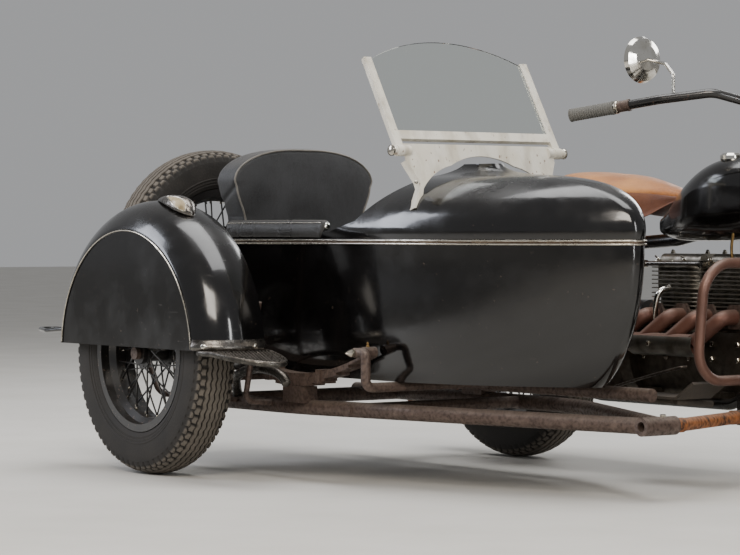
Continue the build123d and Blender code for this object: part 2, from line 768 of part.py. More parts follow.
def leaf_spring(y):
    """A semi-elliptic pack of leaves with an eye at each end and two clips."""
    leaves = []
    for index in range(SPRING_LEAVES):
        half = SPRING_EYE_HALF * (1 - 0.18 * index) - (4 if index else 0)
        leaves.append(
            leaf(SPRING_CENTRE_X, y, SPRING_EYE_Z, half, SPRING_DROP, index * SPRING_LEAF,
                 SPRING_LEAF, SPRING_WIDTH)
        )
    eyes = []
    for side in (-1, 1):
        x = SPRING_CENTRE_X + side * SPRING_EYE_HALF
        z = SPRING_EYE_Z + 8
        eyes.append(rod((x, y - SPRING_WIDTH / 2, z), (x, y + SPRING_WIDTH / 2, z), 30))
    pack = leaves[0].fuse(*leaves[1:], *eyes)
    for side in (-1, 1):
        x = SPRING_CENTRE_X + side * SPRING_EYE_HALF
        pack = pack - rod((x, y - 40, SPRING_EYE_Z + 8), (x, y + 40, SPRING_EYE_Z + 8), SPRING_PIN + 0.6)
    for place in (-1, 1):
        x = SPRING_CENTRE_X + place * 120
        z = SPRING_EYE_Z - SPRING_DROP + 8
        pack = pack + block(x - 10, x + 10, y - SPRING_WIDTH / 2 - 5, y + SPRING_WIDTH / 2 + 5, z - 32, z + 6)
    return pack


def leaf_springs():
    """The two springs that carry the body, outboard and inboard."""
    return leaf_spring(SPRING_OUTER_Y) + leaf_spring(SPRING_INNER_Y)


def body_brackets():
    """Goose-neck arms from the spring eyes down and in under the body's floor."""
    arms = []
    low = BODY_BOTTOM - 0.3 - BRACKET_TUBE / 2
    for y, inward in ((SPRING_OUTER_Y, 1), (SPRING_INNER_Y, -1)):
        for side in (-1, 1):
            x = SPRING_CENTRE_X + side * SPRING_EYE_HALF
            z = SPRING_EYE_Z + 8
            out = y - inward * (SPRING_WIDTH / 2 + 1 + BRACKET_TUBE / 2)
            far = y + inward * (SPRING_WIDTH / 2 + 6)
            pin = rod((x, out, z), (x, far, z), SPRING_PIN)
            step_x = x + side * 40
            arm = bent_tube(
                [
                    (x - side * 8, out, z),
                    (step_x, out, z),
                    (step_x, out, low),
                    (step_x, CENTRE_TUBE_Y if side > 0 else y + inward * BRACKET_REACH, low),
                ],
                BRACKET_TUBE,
                [14, 22],
            )
            arms.append(arm)
            arms.append(pin)
    spine_z = BODY_BOTTOM - 0.3 - CENTRE_TUBE / 2
    spine_rear = (CENTRE_TUBE_REAR, CENTRE_TUBE_Y, spine_z)
    spine = rod(spine_rear, (CENTRE_TUBE_FRONT, CENTRE_TUBE_Y, spine_z), CENTRE_TUBE)
    return spine.fuse(*arms)


def marker_lamp():
    """A low teardrop lamp on the fender's crown, its lens to the front."""
    r = FENDER_CROWN_RADIUS
    body = loft(
        [
            Pos(0, 0, r + 0.3) * RectangleRounded(84, 46, 16),
            Pos(-6, 0, r + 18) * RectangleRounded(52, 36, 14),
            Pos(-12, 0, r + 30) * RectangleRounded(18, 16, 6),
        ]
    )
    tilt = degrees(asin((LAMP_X - SIDECAR_AXLE_X) / r))
    return Pos(SIDECAR_AXLE_X, FENDER_CROWN_Y, TYRE_RADIUS) * Rot(Y=tilt) * body


def fender_step():
    """The tread plate under the fender's front edge, dipping to its round front end."""
    y_out = FENDER_OUTER_Y
    y_in = FENDER_INNER_Y
    z = FENDER_LOWER_Z - 0.3
    front = SIDECAR_AXLE_X + FENDER_CROWN_RADIUS
    outline = [
        Line((front - 62, y_out - 6), (front + 40, y_out + 6)),
        ThreePointArc((front + 40, y_out + 6), (front + 118, y_out + 52), (front + 150, y_out + 112)),
        Line((front + 150, y_out + 112), (front + 24, y_in + 6)),
        Line((front + 24, y_in + 6), (front - 20, y_in + 6)),
        Line((front - 20, y_in + 6), (front - 62, y_out - 6)),
    ]
    slab = extrude(Pos(0, 0, z - 60) * make_face(Curve() + outline), 62)
    dip = [(front - 70, z), (front + 8, z), (front + 170, z - STEP_DIP), (front + 170, z - STEP_DIP - STEP_SHEET),
           (front + 8, z - STEP_SHEET), (front - 70, z - STEP_SHEET)]
    return slab & side_plate(dip, y_out - 60, y_in + 60)


def fender_loop():
    """The small loop behind the sidecar's fender."""
    z = FENDER_LOWER_Z + 12
    rear = SIDECAR_AXLE_X - FENDER_CROWN_RADIUS
    loop = bent_tube(
        [
            (rear + 42, FENDER_OUTER_Y + 44, z + 26),
            (rear - 60, FENDER_OUTER_Y + 30, z + 18),
            (rear - 150, FENDER_OUTER_Y + 60, z + 20),
            (rear - 150, FENDER_OUTER_Y + 110, z + 20),
            (rear + 12, FENDER_OUTER_Y + 130, z + 18),
        ],
        12,
        [20, 18, 18],
    )
    return loop


def sidecar_chassis():
    """Outer and inner tubes, cross tubes and the stub axle that carries the sidecar wheel."""
    tube = CHASSIS_TUBE
    outer = bent_tube(
        [
            (-330, OUTER_TUBE_Y - 12, CHASSIS_Z),
            (SPRING_CENTRE_X, OUTER_TUBE_Y, CHASSIS_Z),
            (741, -882, CHASSIS_Z),
            (CLAMP_X, CLAMP_Y, CHASSIS_Z - 10),
        ],
        tube,
        [900, 700],
    )
    inner = bent_tube(
        [
            (-330, SPRING_INNER_Y, CHASSIS_Z),
            (700, SPRING_INNER_Y, CHASSIS_Z),
            (CLAMP_X, CLAMP_Y + 36, CHASSIS_Z - 10),
        ],
        tube,
        [700],
    )
    rear_cross = rod((CROSS_X, OUTER_TUBE_Y + 2, CHASSIS_Z), (CROSS_X, REAR_LINK_Y, CHASSIS_Z), tube)
    middle_cross = rod((SPRING_CENTRE_X + 190, OUTER_TUBE_Y + 16, CHASSIS_Z),
                       (SPRING_CENTRE_X + 190, SPRING_INNER_Y, CHASSIS_Z), 34)
    z = CHASSIS_Z - 10
    socket_end = CLAMP_Y - 34
    front_cross = rod((CLAMP_X, socket_end, z), (CLAMP_X, CLAMP_Y + 80, z), 48)
    socket = rod((CLAMP_X, socket_end - 1, z), (CLAMP_X, socket_end + SOCKET_DEPTH, z), SOCKET_BORE)
    frame = outer.fuse(
        inner, rear_cross, middle_cross, front_cross, axle_carrier(), *spring_seats(), *fender_stays()
    )
    return frame - socket


def fender_stays():
    """Bent bars from the outer tube up to the inner edge of the sidecar's fender."""
    stays = []
    y = FENDER_INNER_Y + 0.3 + FENDER_STAY / 2
    for foot_x, angle in FENDER_STAY_PLACES:
        x = SIDECAR_AXLE_X + (FENDER_CROWN_RADIUS - 30) * cos(radians(angle))
        z = TYRE_RADIUS + (FENDER_CROWN_RADIUS - 30) * sin(radians(angle))
        path = [(foot_x, OUTER_TUBE_Y, CHASSIS_Z + 6), (foot_x, y, CHASSIS_Z + 12), (x, y, z)]
        stays.append(bent_tube(path, FENDER_STAY, [30]))
    return stays


def axle_carrier():
    """A forged upright on the outer tube with the stub axle the sidecar wheel turns on."""
    base_y = OUTER_TUBE_Y - 10
    inner_face = -TRACK + HUB_LENGTH / 2 + 1
    outer_face = -TRACK - HUB_LENGTH / 2 - 1
    top = CHASSIS_Z + CHASSIS_TUBE / 2
    x = SIDECAR_AXLE_X
    upright = side_plate(
        [(x - 45, top - 8), (x + 45, top - 8), (x + 30, TYRE_RADIUS + 24), (x - 30, TYRE_RADIUS + 24)],
        base_y - 20,
        base_y + 20,
    )
    boss = rod((x, base_y - 19, TYRE_RADIUS), (x, inner_face, TYRE_RADIUS), 44)
    axle = rod((x, base_y - 19, TYRE_RADIUS), (x, outer_face - 12, TYRE_RADIUS), AXLE_DIAMETER)
    nut = rod((x, outer_face, TYRE_RADIUS), (x, outer_face - 14, TYRE_RADIUS), AXLE_NUT)
    return upright.fuse(boss, axle, nut)


def spring_seats():
    """Forged blocks between the tubes and the middle of each spring."""
    tube_top = CHASSIS_Z + CHASSIS_TUBE / 2
    pack_low = SPRING_EYE_Z - SPRING_DROP - SPRING_LEAVES * SPRING_LEAF
    seats = []
    for y in (SPRING_OUTER_Y, SPRING_INNER_Y):
        seats.append(
            block(SPRING_CENTRE_X - 45, SPRING_CENTRE_X + 45, y - 26, y + 26, tube_top - 8, pack_low - 0.3)
        )
    return seats


def clamp_on_cross_tube(right_y, left_y):
    """A ring clamped round the chassis cross tube, with a running gap of 0.3 mm."""
    ring = rod((CROSS_X, right_y, CHASSIS_Z), (CROSS_X, left_y, CHASSIS_Z), CHASSIS_TUBE + 18)
    return ring - rod((CROSS_X, right_y - 6, CHASSIS_Z), (CROSS_X, left_y + 6, CHASSIS_Z), CHASSIS_TUBE + 0.6)


def chassis_links():
    """The front link, the rear link and the upper strut that hold the sidecar to the motorcycle."""
    z = CHASSIS_Z - 10
    start = CLAMP_Y + 80.3
    knuckle = rod((CLAMP_X, start, z), (CLAMP_X, start + 26, z), LINK_DIAMETER)
    eye_y = -FRONT_LUG_Y - 0.3
    front_eye = rod((DOWN_TUBE_X, eye_y, z - 6), (DOWN_TUBE_X, eye_y - 34, z - 6), LINK_DIAMETER)
    front_bar = rod((CLAMP_X, start + 20, z), (DOWN_TUBE_X, eye_y - 18, z - 6), LINK_DIAMETER - 4)
    front = knuckle.fuse(front_eye, front_bar)
    lug_y = -PLUNGER_Y - PLUNGER_LUG / 2 - 0.3
    collar = clamp_on_cross_tube(REAR_LINK_Y - 34, REAR_LINK_Y - 4)
    rear_eye = rod((0, lug_y, PLUNGER_BOTTOM), (0, lug_y - 26, PLUNGER_BOTTOM), 32)
    rear_bar = rod((CROSS_X + 27, REAR_LINK_Y - 19, CHASSIS_Z + 6), (0, lug_y - 13, PLUNGER_BOTTOM), 22)
    rear = collar.fuse(rear_eye, rear_bar)
    stay_z = PLUNGER_TOP + (STAY_TOP_Z - PLUNGER_TOP) * STRUT_X / STAY_TOP_X
    stay_side = -PLUNGER_Y - STAY_TUBE / 2 - 0.3
    head_eye = rod((STRUT_X, stay_side, stay_z), (STRUT_X, stay_side - 30, stay_z), 30)
    foot = clamp_on_cross_tube(STRUT_FOOT_Y - 18, STRUT_FOOT_Y + 18)
    strut = rod((CROSS_X + 10, STRUT_FOOT_Y, CHASSIS_Z + 26), (STRUT_X, stay_side - 15, stay_z), 26)
    upper = head_eye.fuse(foot, strut)
    return front + rear + upper


def spare_carrier():
    """A plate and stub on the tail that hold the spare wheel."""
    tail = TUB_SECTIONS[-1][2]
    pad = block(tail - 12, tail + 30, BODY_Y - 90, BODY_Y + 90, SPARE_Z - 120, BELT_Z - 12)
    plate = pad - tub_solid(-0.3, 0)
    stub = rod((tail - 8, BODY_Y, SPARE_Z), (SPARE_X - HUB_LENGTH / 2 - 14, BODY_Y, SPARE_Z), AXLE_DIAMETER)
    nut = rod((SPARE_X - HUB_LENGTH / 2 - 0.6, BODY_Y, SPARE_Z),
              (SPARE_X - HUB_LENGTH / 2 - 16, BODY_Y, SPARE_Z), AXLE_NUT + 10)
    return plate.fuse(stub, nut)


def head_tube():
    """The steering head, bored for the stem."""
    low = to_steering(HEAD_TUBE_BOTTOM, 0)
    high = to_steering(HEAD_TUBE_TOP, 0)
    return rod(low, high, HEAD_TUBE_DIAMETER)


def down_tube_x(z):
    """Where the down tube stands at a height, on its two straight runs."""
    top_x, _, top_z = to_steering(DOWN_TUBE_TOP, 0)
    knee_x, knee_z = DOWN_TUBE_KNEE
    low_z = CRADLE_Z + 40
    if z > knee_z:
        return knee_x + (top_x - knee_x) * (z - knee_z) / (top_z - knee_z)
    return DOWN_TUBE_X + (knee_x - DOWN_TUBE_X) * (z - low_z) / (knee_z - low_z)


def motorcycle_frame():
    """Head, backbone, down tube, cradle, seat tube and rear stays as one brazed frame."""
    tube = FRAME_TUBE
    low = (DOWN_TUBE_X, 0, CRADLE_Z + 40)
    backbone = bent_tube(
        [to_steering(70, 0), (1000, 0, BACKBONE_Z + 60), (700, 0, BACKBONE_Z), (SEAT_TUBE_X + 20, 0, 640)],
        tube + 4,
        [300, 300],
    )
    knee_x, knee_z = DOWN_TUBE_KNEE
    down_tube = bent_tube([to_steering(DOWN_TUBE_TOP, 0), (knee_x, 0, knee_z), low], tube + 2, [500])
    seat_tube = rod((SEAT_TUBE_X + 22, 0, 655), (SEAT_TUBE_X - 20, 0, SEAT_CROSS_Z), tube)
    seat_cross = rod(
        (SEAT_TUBE_X - 20, -CRADLE_Y, SEAT_CROSS_Z), (SEAT_TUBE_X - 20, CRADLE_Y, SEAT_CROSS_Z), tube - 4
    )
    pieces = [down_tube, seat_tube, seat_cross]
    for x, z in TANK_SUPPORTS:
        pieces.append(rod((x, 0.3 - TANK_CHANNEL, z), (x, TANK_CHANNEL - 0.3, z), 22))
    tie_half = CRADLE_Y - 10
    tie_z = CRADLE_Z + 30
    pieces.append(rod((DOWN_TUBE_X, -tie_half, tie_z), (DOWN_TUBE_X, tie_half, tie_z), tube))
    lug_z = CHASSIS_Z - 16
    pieces.append(
        block(DOWN_TUBE_X - 15, DOWN_TUBE_X + 15, -FRONT_LUG_Y, -CRADLE_Y + 20, lug_z - 22, CRADLE_Z + 38)
    )
    pieces.append(rod((SEAT_TUBE_X + 24, 0, 640), (SEAT_TUBE_X + 24, 0, SADDLE_POST_Z), 26))
    for side in (-1, 1):
        y = side * CRADLE_Y
        pieces.append(
            bent_tube(
                [(DOWN_TUBE_X, y - side * 12, CRADLE_Z + 30), (1040, y, CRADLE_Z), (520, y, CRADLE_Z),
                 (300, side * PLUNGER_Y, CRADLE_Z + 30), (0, side * PLUNGER_Y, PLUNGER_BOTTOM)],
                tube - 4,
                [60, 200, 200],
            )
        )
        pieces.append(
            bent_tube(
                [
                    (SEAT_TUBE_X + 14, side * 6, 610),
                    (STAY_TOP_X, side * PLUNGER_Y, STAY_TOP_Z),
                    (0, side * PLUNGER_Y, PLUNGER_TOP),
                ],
                STAY_TUBE,
                [60],
            )
        )
        spring_x = STAY_TOP_X + 6
        spring_y = side * (PLUNGER_Y - 8)
        pieces.append(rod((spring_x, spring_y, STAY_TOP_Z), (spring_x, spring_y, SADDLE_SPRING_Z), 14))
        pieces.append(rod((spring_x, spring_y, STAY_TOP_Z + 22), (spring_x, spring_y, SADDLE_SPRING_Z), 44))
        for z in (PLUNGER_BOTTOM, PLUNGER_TOP):
            pieces.append(
                rod((0, side * PLUNGER_Y, z - PLUNGER_LUG_RISE), (0, side * PLUNGER_Y, z + PLUNGER_LUG_RISE), PLUNGER_LUG)
            )
    frame = head_tube().fuse(backbone, *pieces)
    bore_foot = to_steering(HEAD_TUBE_BOTTOM - 20, 0)
    bore = rod(bore_foot, to_steering(HEAD_TUBE_TOP + 20, 0), STEM_DIAMETER + 2 * STEM_GAP)
    return frame - bore


def plunger_springs():
    """Covered plunger springs at the frame's ends, with the axle lugs and the rear axle."""
    pieces = []
    low = PLUNGER_BOTTOM + PLUNGER_LUG_RISE + 0.3
    high = PLUNGER_TOP - PLUNGER_LUG_RISE - 0.3
    for side in (-1, 1):
        y = side * PLUNGER_Y
        pieces.append(rod((0, y, low), (0, y, high), 40))
        pieces.append(rod((0, y, low), (0, y, TYRE_RADIUS - 26), 52))
        pieces.append(rod((0, y, TYRE_RADIUS + 26), (0, y, high), 52))
        pieces.append(rod((0, side * 97, TYRE_RADIUS), (0, y + side * 26, TYRE_RADIUS), 40))
        pieces.append(rod((0, y + side * 24, TYRE_RADIUS), (0, y + side * 40, TYRE_RADIUS), AXLE_NUT))
    axle = rod((0, -PLUNGER_Y, TYRE_RADIUS), (0, PLUNGER_Y, TYRE_RADIUS), AXLE_DIAMETER)
    return axle.fuse(*pieces)


def crankcase():
    """Crankcase with its sump, the round flywheel housing and the gearbox behind it."""
    half = CRANKCASE_HALF_WIDTH
    top = CRANKCASE_TOP
    low = CRANKCASE_BOTTOM
    section = Polyline((-half + 8, top), (half - 8, top), (half, top - 22), (half, 300), (half - 16, 240),
                       (half - 38, low), (38 - half, low), (16 - half, 240), (-half, 300), (-half, top - 22), close=True)
    plane = Plane(origin=(CRANKCASE_REAR, 0, 0), x_dir=(0, 1, 0), z_dir=(1, 0, 0))
    case = extrude(plane * make_face(section), CRANKCASE_FRONT - CRANKCASE_REAR)
    wheel_z = low + FLYWHEEL_RADIUS
    wheel_rear = (CRANKCASE_REAR - FLYWHEEL_WIDTH, 0, wheel_z)
    flywheel = rod(wheel_rear, (CRANKCASE_REAR + 1, 0, wheel_z), 2 * FLYWHEEL_RADIUS)
    box = block(GEARBOX_REAR, CRANKCASE_REAR - FLYWHEEL_WIDTH + 1, -78, 78, 216, GEARBOX_TOP)
    box = fillet(box.edges().filter_by(Axis.X), 30)
    seat_z = CRADLE_Z + FRAME_TUBE / 2 - 2 + 0.3
    feet = []
    for x in (CRANKCASE_REAR + 60, CRANKCASE_FRONT - 84):
        for low_y, high_y in ((-CRADLE_Y - 12, -70), (70, CRADLE_Y + 12)):
            feet.append(block(x - 22, x + 22, low_y, high_y, seat_z, seat_z + 16))
    return case.fuse(flywheel, box, *feet)


def fin_stack(x, width_x, z_first, count):
    """Thin fins with rounded corners, one above another."""
    fins = []
    for index in range(count):
        z = z_first + index * FIN_PITCH
        outline = RectangleRounded(width_x, FIN_WIDTH, FIN_CORNER)
        fins.append(extrude(Pos(x, 0, z) * outline, FIN_THICKNESS))
    return fins


def cylinder_x(index):
    """Where a cylinder stands, counted from the front."""
    return FIRST_CYLINDER_X - index * CYLINDER_PITCH


def cylinder_blocks():
    """Two finned cylinder pairs on a base flange."""
    height = FIN_COUNT * FIN_PITCH
    blocks = []
    for pair in (0, 2):
        x = (cylinder_x(pair) + cylinder_x(pair + 1)) / 2
        width = CYLINDER_PITCH + 2 * BORE_RADIUS + 10
        barrel = RectangleRounded(width - 24, 2 * BORE_RADIUS + 14, 40)
        core = extrude(Pos(x, 0, CRANKCASE_TOP) * barrel, height)
        base = extrude(Pos(x, 0, CRANKCASE_TOP) * RectangleRounded(width - 8, 2 * BORE_RADIUS + 40, 40), 8)
        fins = fin_stack(x, width, CRANKCASE_TOP + FIN_PITCH, FIN_COUNT - 1)
        blocks.append(core.fuse(base, *fins))
    return blocks[0] + blocks[1]


def cylinder_heads():
    """Two finned heads, one on each pair, with their rocker covers."""
    low = CRANKCASE_TOP + FIN_COUNT * FIN_PITCH + HEAD_SEAT
    heads = []
    for pair in (0, 2):
        x = (cylinder_x(pair) + cylinder_x(pair + 1)) / 2
        width = CYLINDER_PITCH + 2 * BORE_RADIUS + 10
        barrel = RectangleRounded(width - 16, FIN_WIDTH - 34, 40)
        core = extrude(Pos(x, 0, low) * barrel, HEAD_FIN_COUNT * FIN_PITCH)
        fins = fin_stack(x, width, low + 2, HEAD_FIN_COUNT)
        top = low + HEAD_FIN_COUNT * FIN_PITCH
        cover = block(x - width / 2 + 20, x + width / 2 - 20, -38, 38, top - 1, top + 30)
        cover = fillet(cover.edges().filter_by(Axis.X).group_by(Axis.Z)[-1], 18)
        heads.append(core.fuse(cover, *fins))
    return heads[0] + heads[1]


def exhaust():
    """Four pipes that curve back into the collector, and the silencer behind."""
    pieces = []
    side = -FIN_WIDTH / 2
    for index in range(CYLINDER_COUNT):
        x = cylinder_x(index)
        pieces.append(
            bent_tube(
                [(x, side - 0.4, PORT_Z), (x, side - 50, PORT_Z), (x - 78, COLLECTOR_Y, COLLECTOR_Z + 4)],
                PIPE_DIAMETER,
                [26],
            )
        )
    rear = cylinder_x(CYLINDER_COUNT - 1) - 100
    collector_front = (cylinder_x(0) - 80, COLLECTOR_Y, COLLECTOR_Z)
    collector = rod(collector_front, (rear, COLLECTOR_Y, COLLECTOR_Z), PIPE_DIAMETER + 12)
    tail = bent_tube(
        [
            (rear + 2, COLLECTOR_Y, COLLECTOR_Z),
            (rear - 50, COLLECTOR_Y, COLLECTOR_Z),
            (SILENCER_FRONT + 50, SILENCER_Y, SILENCER_Z),
            (SILENCER_FRONT - 10, SILENCER_Y, SILENCER_Z),
        ],
        PIPE_DIAMETER - 6,
        [40, 40],
    )
    cradle_x = STAY_TOP_X - 30
    hanger_y = -PLUNGER_Y - FRAME_TUBE / 2
    hanger = rod((cradle_x, SILENCER_Y, SILENCER_Z), (cradle_x, hanger_y, CRADLE_Z + 36), 14)
    return collector.fuse(tail, silencer(), hanger, *pieces)


def heat_shield():
    """A half-round sleeve over the collector with a rounded front end."""
    pipe = PIPE_DIAMETER / 2 + 6
    r = pipe + 8
    front = 954
    rear = 700

    def ring(x_from, x_to, inner):
        start = Plane(origin=(x_from, COLLECTOR_Y, COLLECTOR_Z), z_dir=(1, 0, 0))
        return extrude(start * (Circle(r) - Circle(inner)), x_to - x_from)

    sleeve = ring(rear, front, r - SHIELD_SHEET)
    for x in (rear + 50, front - 60):
        sleeve = sleeve + ring(x, x + 14, pipe + 0.3)
    return sleeve & block(rear, front, COLLECTOR_Y - 80, COLLECTOR_Y + 6, COLLECTOR_Z - 80, COLLECTOR_Z + 20)


def silencer():
    """A long silencer with tapered ends along the right side."""
    length = SILENCER_FRONT - SILENCER_REAR
    body = turned([(0, 0), (20, 0), (44, 70), (44, length - 60), (24, length), (0, length)])
    return Pos(SILENCER_REAR, SILENCER_Y, SILENCER_Z) * Rot(Y=90) * body


def intake():
    """Inlet branch along the left side with the carburettor."""
    y = FIN_WIDTH / 2 + 34
    z = CRANKCASE_TOP + FIN_COUNT * FIN_PITCH + 24
    pieces = []
    for index in range(CYLINDER_COUNT):
        x = cylinder_x(index)
        pieces.append(rod((x, FIN_WIDTH / 2 + 0.4, z), (x, y, z), 34))
    log = rod((cylinder_x(0) + 20, y, z), (cylinder_x(CYLINDER_COUNT - 1) - 20, y, z), 38)
    middle = (cylinder_x(1) + cylinder_x(2)) / 2
    bowl = rod((middle, y + 34, z - 78), (middle, y + 34, z + 4), 62)
    throat = rod((middle, y, z - 20), (middle, y + 84, z - 20), 48)
    return log.fuse(bowl, throat, *pieces)


def generator():
    """The generator strapped on top of the gearbox."""
    z = GEARBOX_TOP + 0.3 + GENERATOR_DIAMETER / 2
    front = CRANKCASE_REAR - FLYWHEEL_WIDTH - 5
    return rod((GEARBOX_REAR + 6, 0, z), (front, 0, z), GENERATOR_DIAMETER)


# Tank sections: place, half width, bottom, top
TANK_SECTIONS = [
    (672, 44, 672, 716),
    (770, 92, 654, 776),
    (900, 132, 652, 858),
    (1050, 124, 660, 878),
    (1148, 70, 700, 850),
]


def fuel_tank():
    """Two teardrop halves that straddle the backbone."""
    faces = []
    for x, half, low, top in TANK_SECTIONS:
        height = top - low
        plane = Plane(origin=(x, 0, (low + top) / 2), x_dir=(0, 1, 0), z_dir=(1, 0, 0))
        faces.append(plane * RectangleRounded(2 * half, height, min(half, height / 2) * 0.72))
    channel = side_plate(
        [
            (650, 600),
            (650, BACKBONE_Z + 30),
            (760, BACKBONE_Z + 40),
            (960, BACKBONE_Z + 118),
            (1160, 960),
            (1300, 960),
            (1300, 600),
        ],
        -TANK_CHANNEL,
        TANK_CHANNEL,
    )
    return loft(faces) - channel


def tank_caps():
    """Two screw caps on the tank's top."""
    caps = []
    above_tank = Pos(0, 0, 0.3) * fuel_tank()
    for x, y in ((TANK_CAP_X, -62), (TANK_CAP_X, 62)):
        cap = turned([(0, -30), (22, -30), (22, 0), (30, 0), (33, 4), (33, 14), (26, 20), (0, 22)])
        caps.append(Pos(x, y, TANK_CAP_Z) * cap - above_tank)
    return caps[0] + caps[1]


# Saddle sections: place, half width, bottom, top
SADDLE_SECTIONS = [
    (222, 100, 778, 838),
    (310, 172, 746, 848),
    (440, 176, 724, 842),
    (560, 110, 724, 833),
    (650, 62, 740, 817),
    (738, 30, 768, 790),
]
SADDLE_SKIRT = 9


def saddle():
    """A broad sprung saddle that narrows to its nose, its skirt hanging round a hollow for the springs."""
    faces = []
    hollows = []
    for x, half, low, top in SADDLE_SECTIONS:
        plane = Plane(origin=(x, 0, (low + top) / 2), x_dir=(0, 1, 0), z_dir=(1, 0, 0))
        faces.append(plane * RectangleRounded(2 * half, top - low, min(half, (top - low) / 2) * 0.8))
    for x, half, low, top in SADDLE_SECTIONS[1:5]:
        inner = half - SADDLE_SKIRT
        plane = Plane(origin=(x, 0, 0), x_dir=(0, 1, 0), z_dir=(1, 0, 0))
        middle = (low - 40 + SADDLE_HOLLOW_TOP) / 2
        hollows.append(plane * (Pos(0, middle) * Rectangle(2 * inner, SADDLE_HOLLOW_TOP - low + 40)))
    return loft(faces) - loft(hollows, ruled=True)


def arched_fender(centre_x, crown_radius, half, skirt, angle_from, angle_to):
    """A fender turned about a wheel: a crowned strip with side skirts, over a range of angles."""
    sheet = FENDER_SHEET
    side_r = crown_radius - skirt
    outline = [
        Line((side_r, -half), (crown_radius - 34, -half)),
        ThreePointArc((crown_radius - 34, -half), (crown_radius, 0), (crown_radius - 34, half)),
        Line((crown_radius - 34, half), (side_r, half)),
        Line((side_r, half), (side_r, half - sheet)),
        Line((side_r, half - sheet), (crown_radius - 34 - sheet / 2, half - sheet)),
        ThreePointArc(
            (crown_radius - 34 - sheet / 2, half - sheet),
            (crown_radius - sheet, 0),
            (crown_radius - 34 - sheet / 2, sheet - half),
        ),
        Line((crown_radius - 34 - sheet / 2, sheet - half), (side_r, sheet - half)),
        Line((side_r, sheet - half), (side_r, -half)),
    ]
    face = Plane.XZ * make_face(Curve() + outline)
    sector = revolve(face, Axis.Z, angle_to - angle_from)
    return Pos(centre_x, 0, TYRE_RADIUS) * Rot(X=-90) * Rot(Z=-angle_to) * sector


def rear_fender():
    """The deeply skirted rear fender, from behind the gearbox to low behind the wheel."""
    stays = []
    foot_z = PLUNGER_TOP + PLUNGER_LUG_RISE + 0.3
    for side in (-1, 1):
        y = side * PLUNGER_Y
        for reach in (-70, 70):
            stays.append(rod((0, y, foot_z + 8), (reach, side * (REAR_FENDER_HALF - 2), foot_z + 130), 14))
        stays.append(rod((0, y, foot_z), (0, y, foot_z + 14), 26))
    fender = arched_fender(0, REAR_FENDER_RADIUS, REAR_FENDER_HALF, REAR_FENDER_SKIRT, 28, 196)
    return fender.fuse(*stays)


def tail_lamp():
    """A round lamp on a foot at the back of the rear fender."""
    angle = radians(150)

    def out(distance):
        r = REAR_FENDER_RADIUS + distance
        return (r * cos(angle), 0, TYRE_RADIUS + r * sin(angle))

    foot = rod(out(0.4), out(46), 26)
    body = turned([(0, -30), (22, -24), (36, 4), (36, 40), (30, 48), (0, 50)])
    x, _, z = out(46)
    return (Pos(x, 0, z) * Rot(Y=-90) * body).fuse(foot)


def front_fender():
    """The skirted front fender between the fork legs."""
    lugs = []
    leg_side = FORK_LEG_OFFSET - FORK_LEG_DIAMETER / 2 - 0.3
    for along in FRONT_FENDER_LUGS:
        for side in (-1, 1):
            start = to_steering(along, FORK_LEG_FORWARD, side * (FRONT_FENDER_HALF - 2))
            lugs.append(rod(start, to_steering(along, FORK_LEG_FORWARD, side * leg_side), 20))
    fender = arched_fender(WHEELBASE, FRONT_FENDER_RADIUS, FRONT_FENDER_HALF, FRONT_FENDER_SKIRT, -12, 192)
    return fender.fuse(*lugs)


def fork():
    """Stem, two crowns, two rigid legs with trailing rockers and the front axle."""
    leg_y = FORK_LEG_OFFSET
    leg = FORK_LEG_DIAMETER
    stem = rod(to_steering(HEAD_TUBE_BOTTOM - 16, 0), to_steering(HEAD_TUBE_TOP + 24, 0), STEM_DIAMETER)
    pieces = []
    for low in (HEAD_TUBE_BOTTOM - CROWN_GAP - CROWN_THICKNESS, HEAD_TUBE_TOP + CROWN_GAP):
        rake = radians(RAKE)
        across = (cos(rake), 0, sin(rake))
        up = (-sin(rake), 0, cos(rake))
        plane = Plane(origin=to_steering(low, 0), x_dir=across, z_dir=up)
        rear = CROWN_REAR
        front = FORK_LEG_FORWARD + leg / 2 + 9
        outline = Pos((rear + front) / 2, 0) * RectangleRounded(front - rear, 2 * leg_y + 46, 20)
        pieces.append(extrude(plane * outline, CROWN_THICKNESS))
    for side in (-1, 1):
        y = side * leg_y
        top = to_steering(HEAD_TUBE_TOP + 26, FORK_LEG_FORWARD, y)
        low = to_steering(-560, FORK_LEG_FORWARD, y)
        knee = to_steering(-660, FORK_LEG_FORWARD - 26, y)
        pieces.append(bent_tube([top, low, knee], leg, [90]))
        axle_end = (WHEELBASE, y, TYRE_RADIUS)
        pieces.append(rod((knee[0], y, knee[2]), axle_end, 24))
        inner_end = (WHEELBASE, side * BRAKE_SIDE, TYRE_RADIUS)
        pieces.append(rod(inner_end, (WHEELBASE, y + side * 20, TYRE_RADIUS), 34))
    pieces.append(rod((WHEELBASE, -leg_y, TYRE_RADIUS), (WHEELBASE, leg_y, TYRE_RADIUS), AXLE_DIAMETER))
    return stem.fuse(*pieces)


def steering_block(along_from, along_to, forward_from, forward_to, half):
    """A block square to the steering axis."""
    rake = radians(RAKE)
    middle = to_steering((along_from + along_to) / 2, (forward_from + forward_to) / 2)
    plane = Plane(origin=middle, x_dir=(cos(rake), 0, sin(rake)), z_dir=(-sin(rake), 0, cos(rake)))
    shape = Rectangle(forward_to - forward_from, 2 * half)
    return extrude(plane * shape, (along_to - along_from) / 2, both=True)


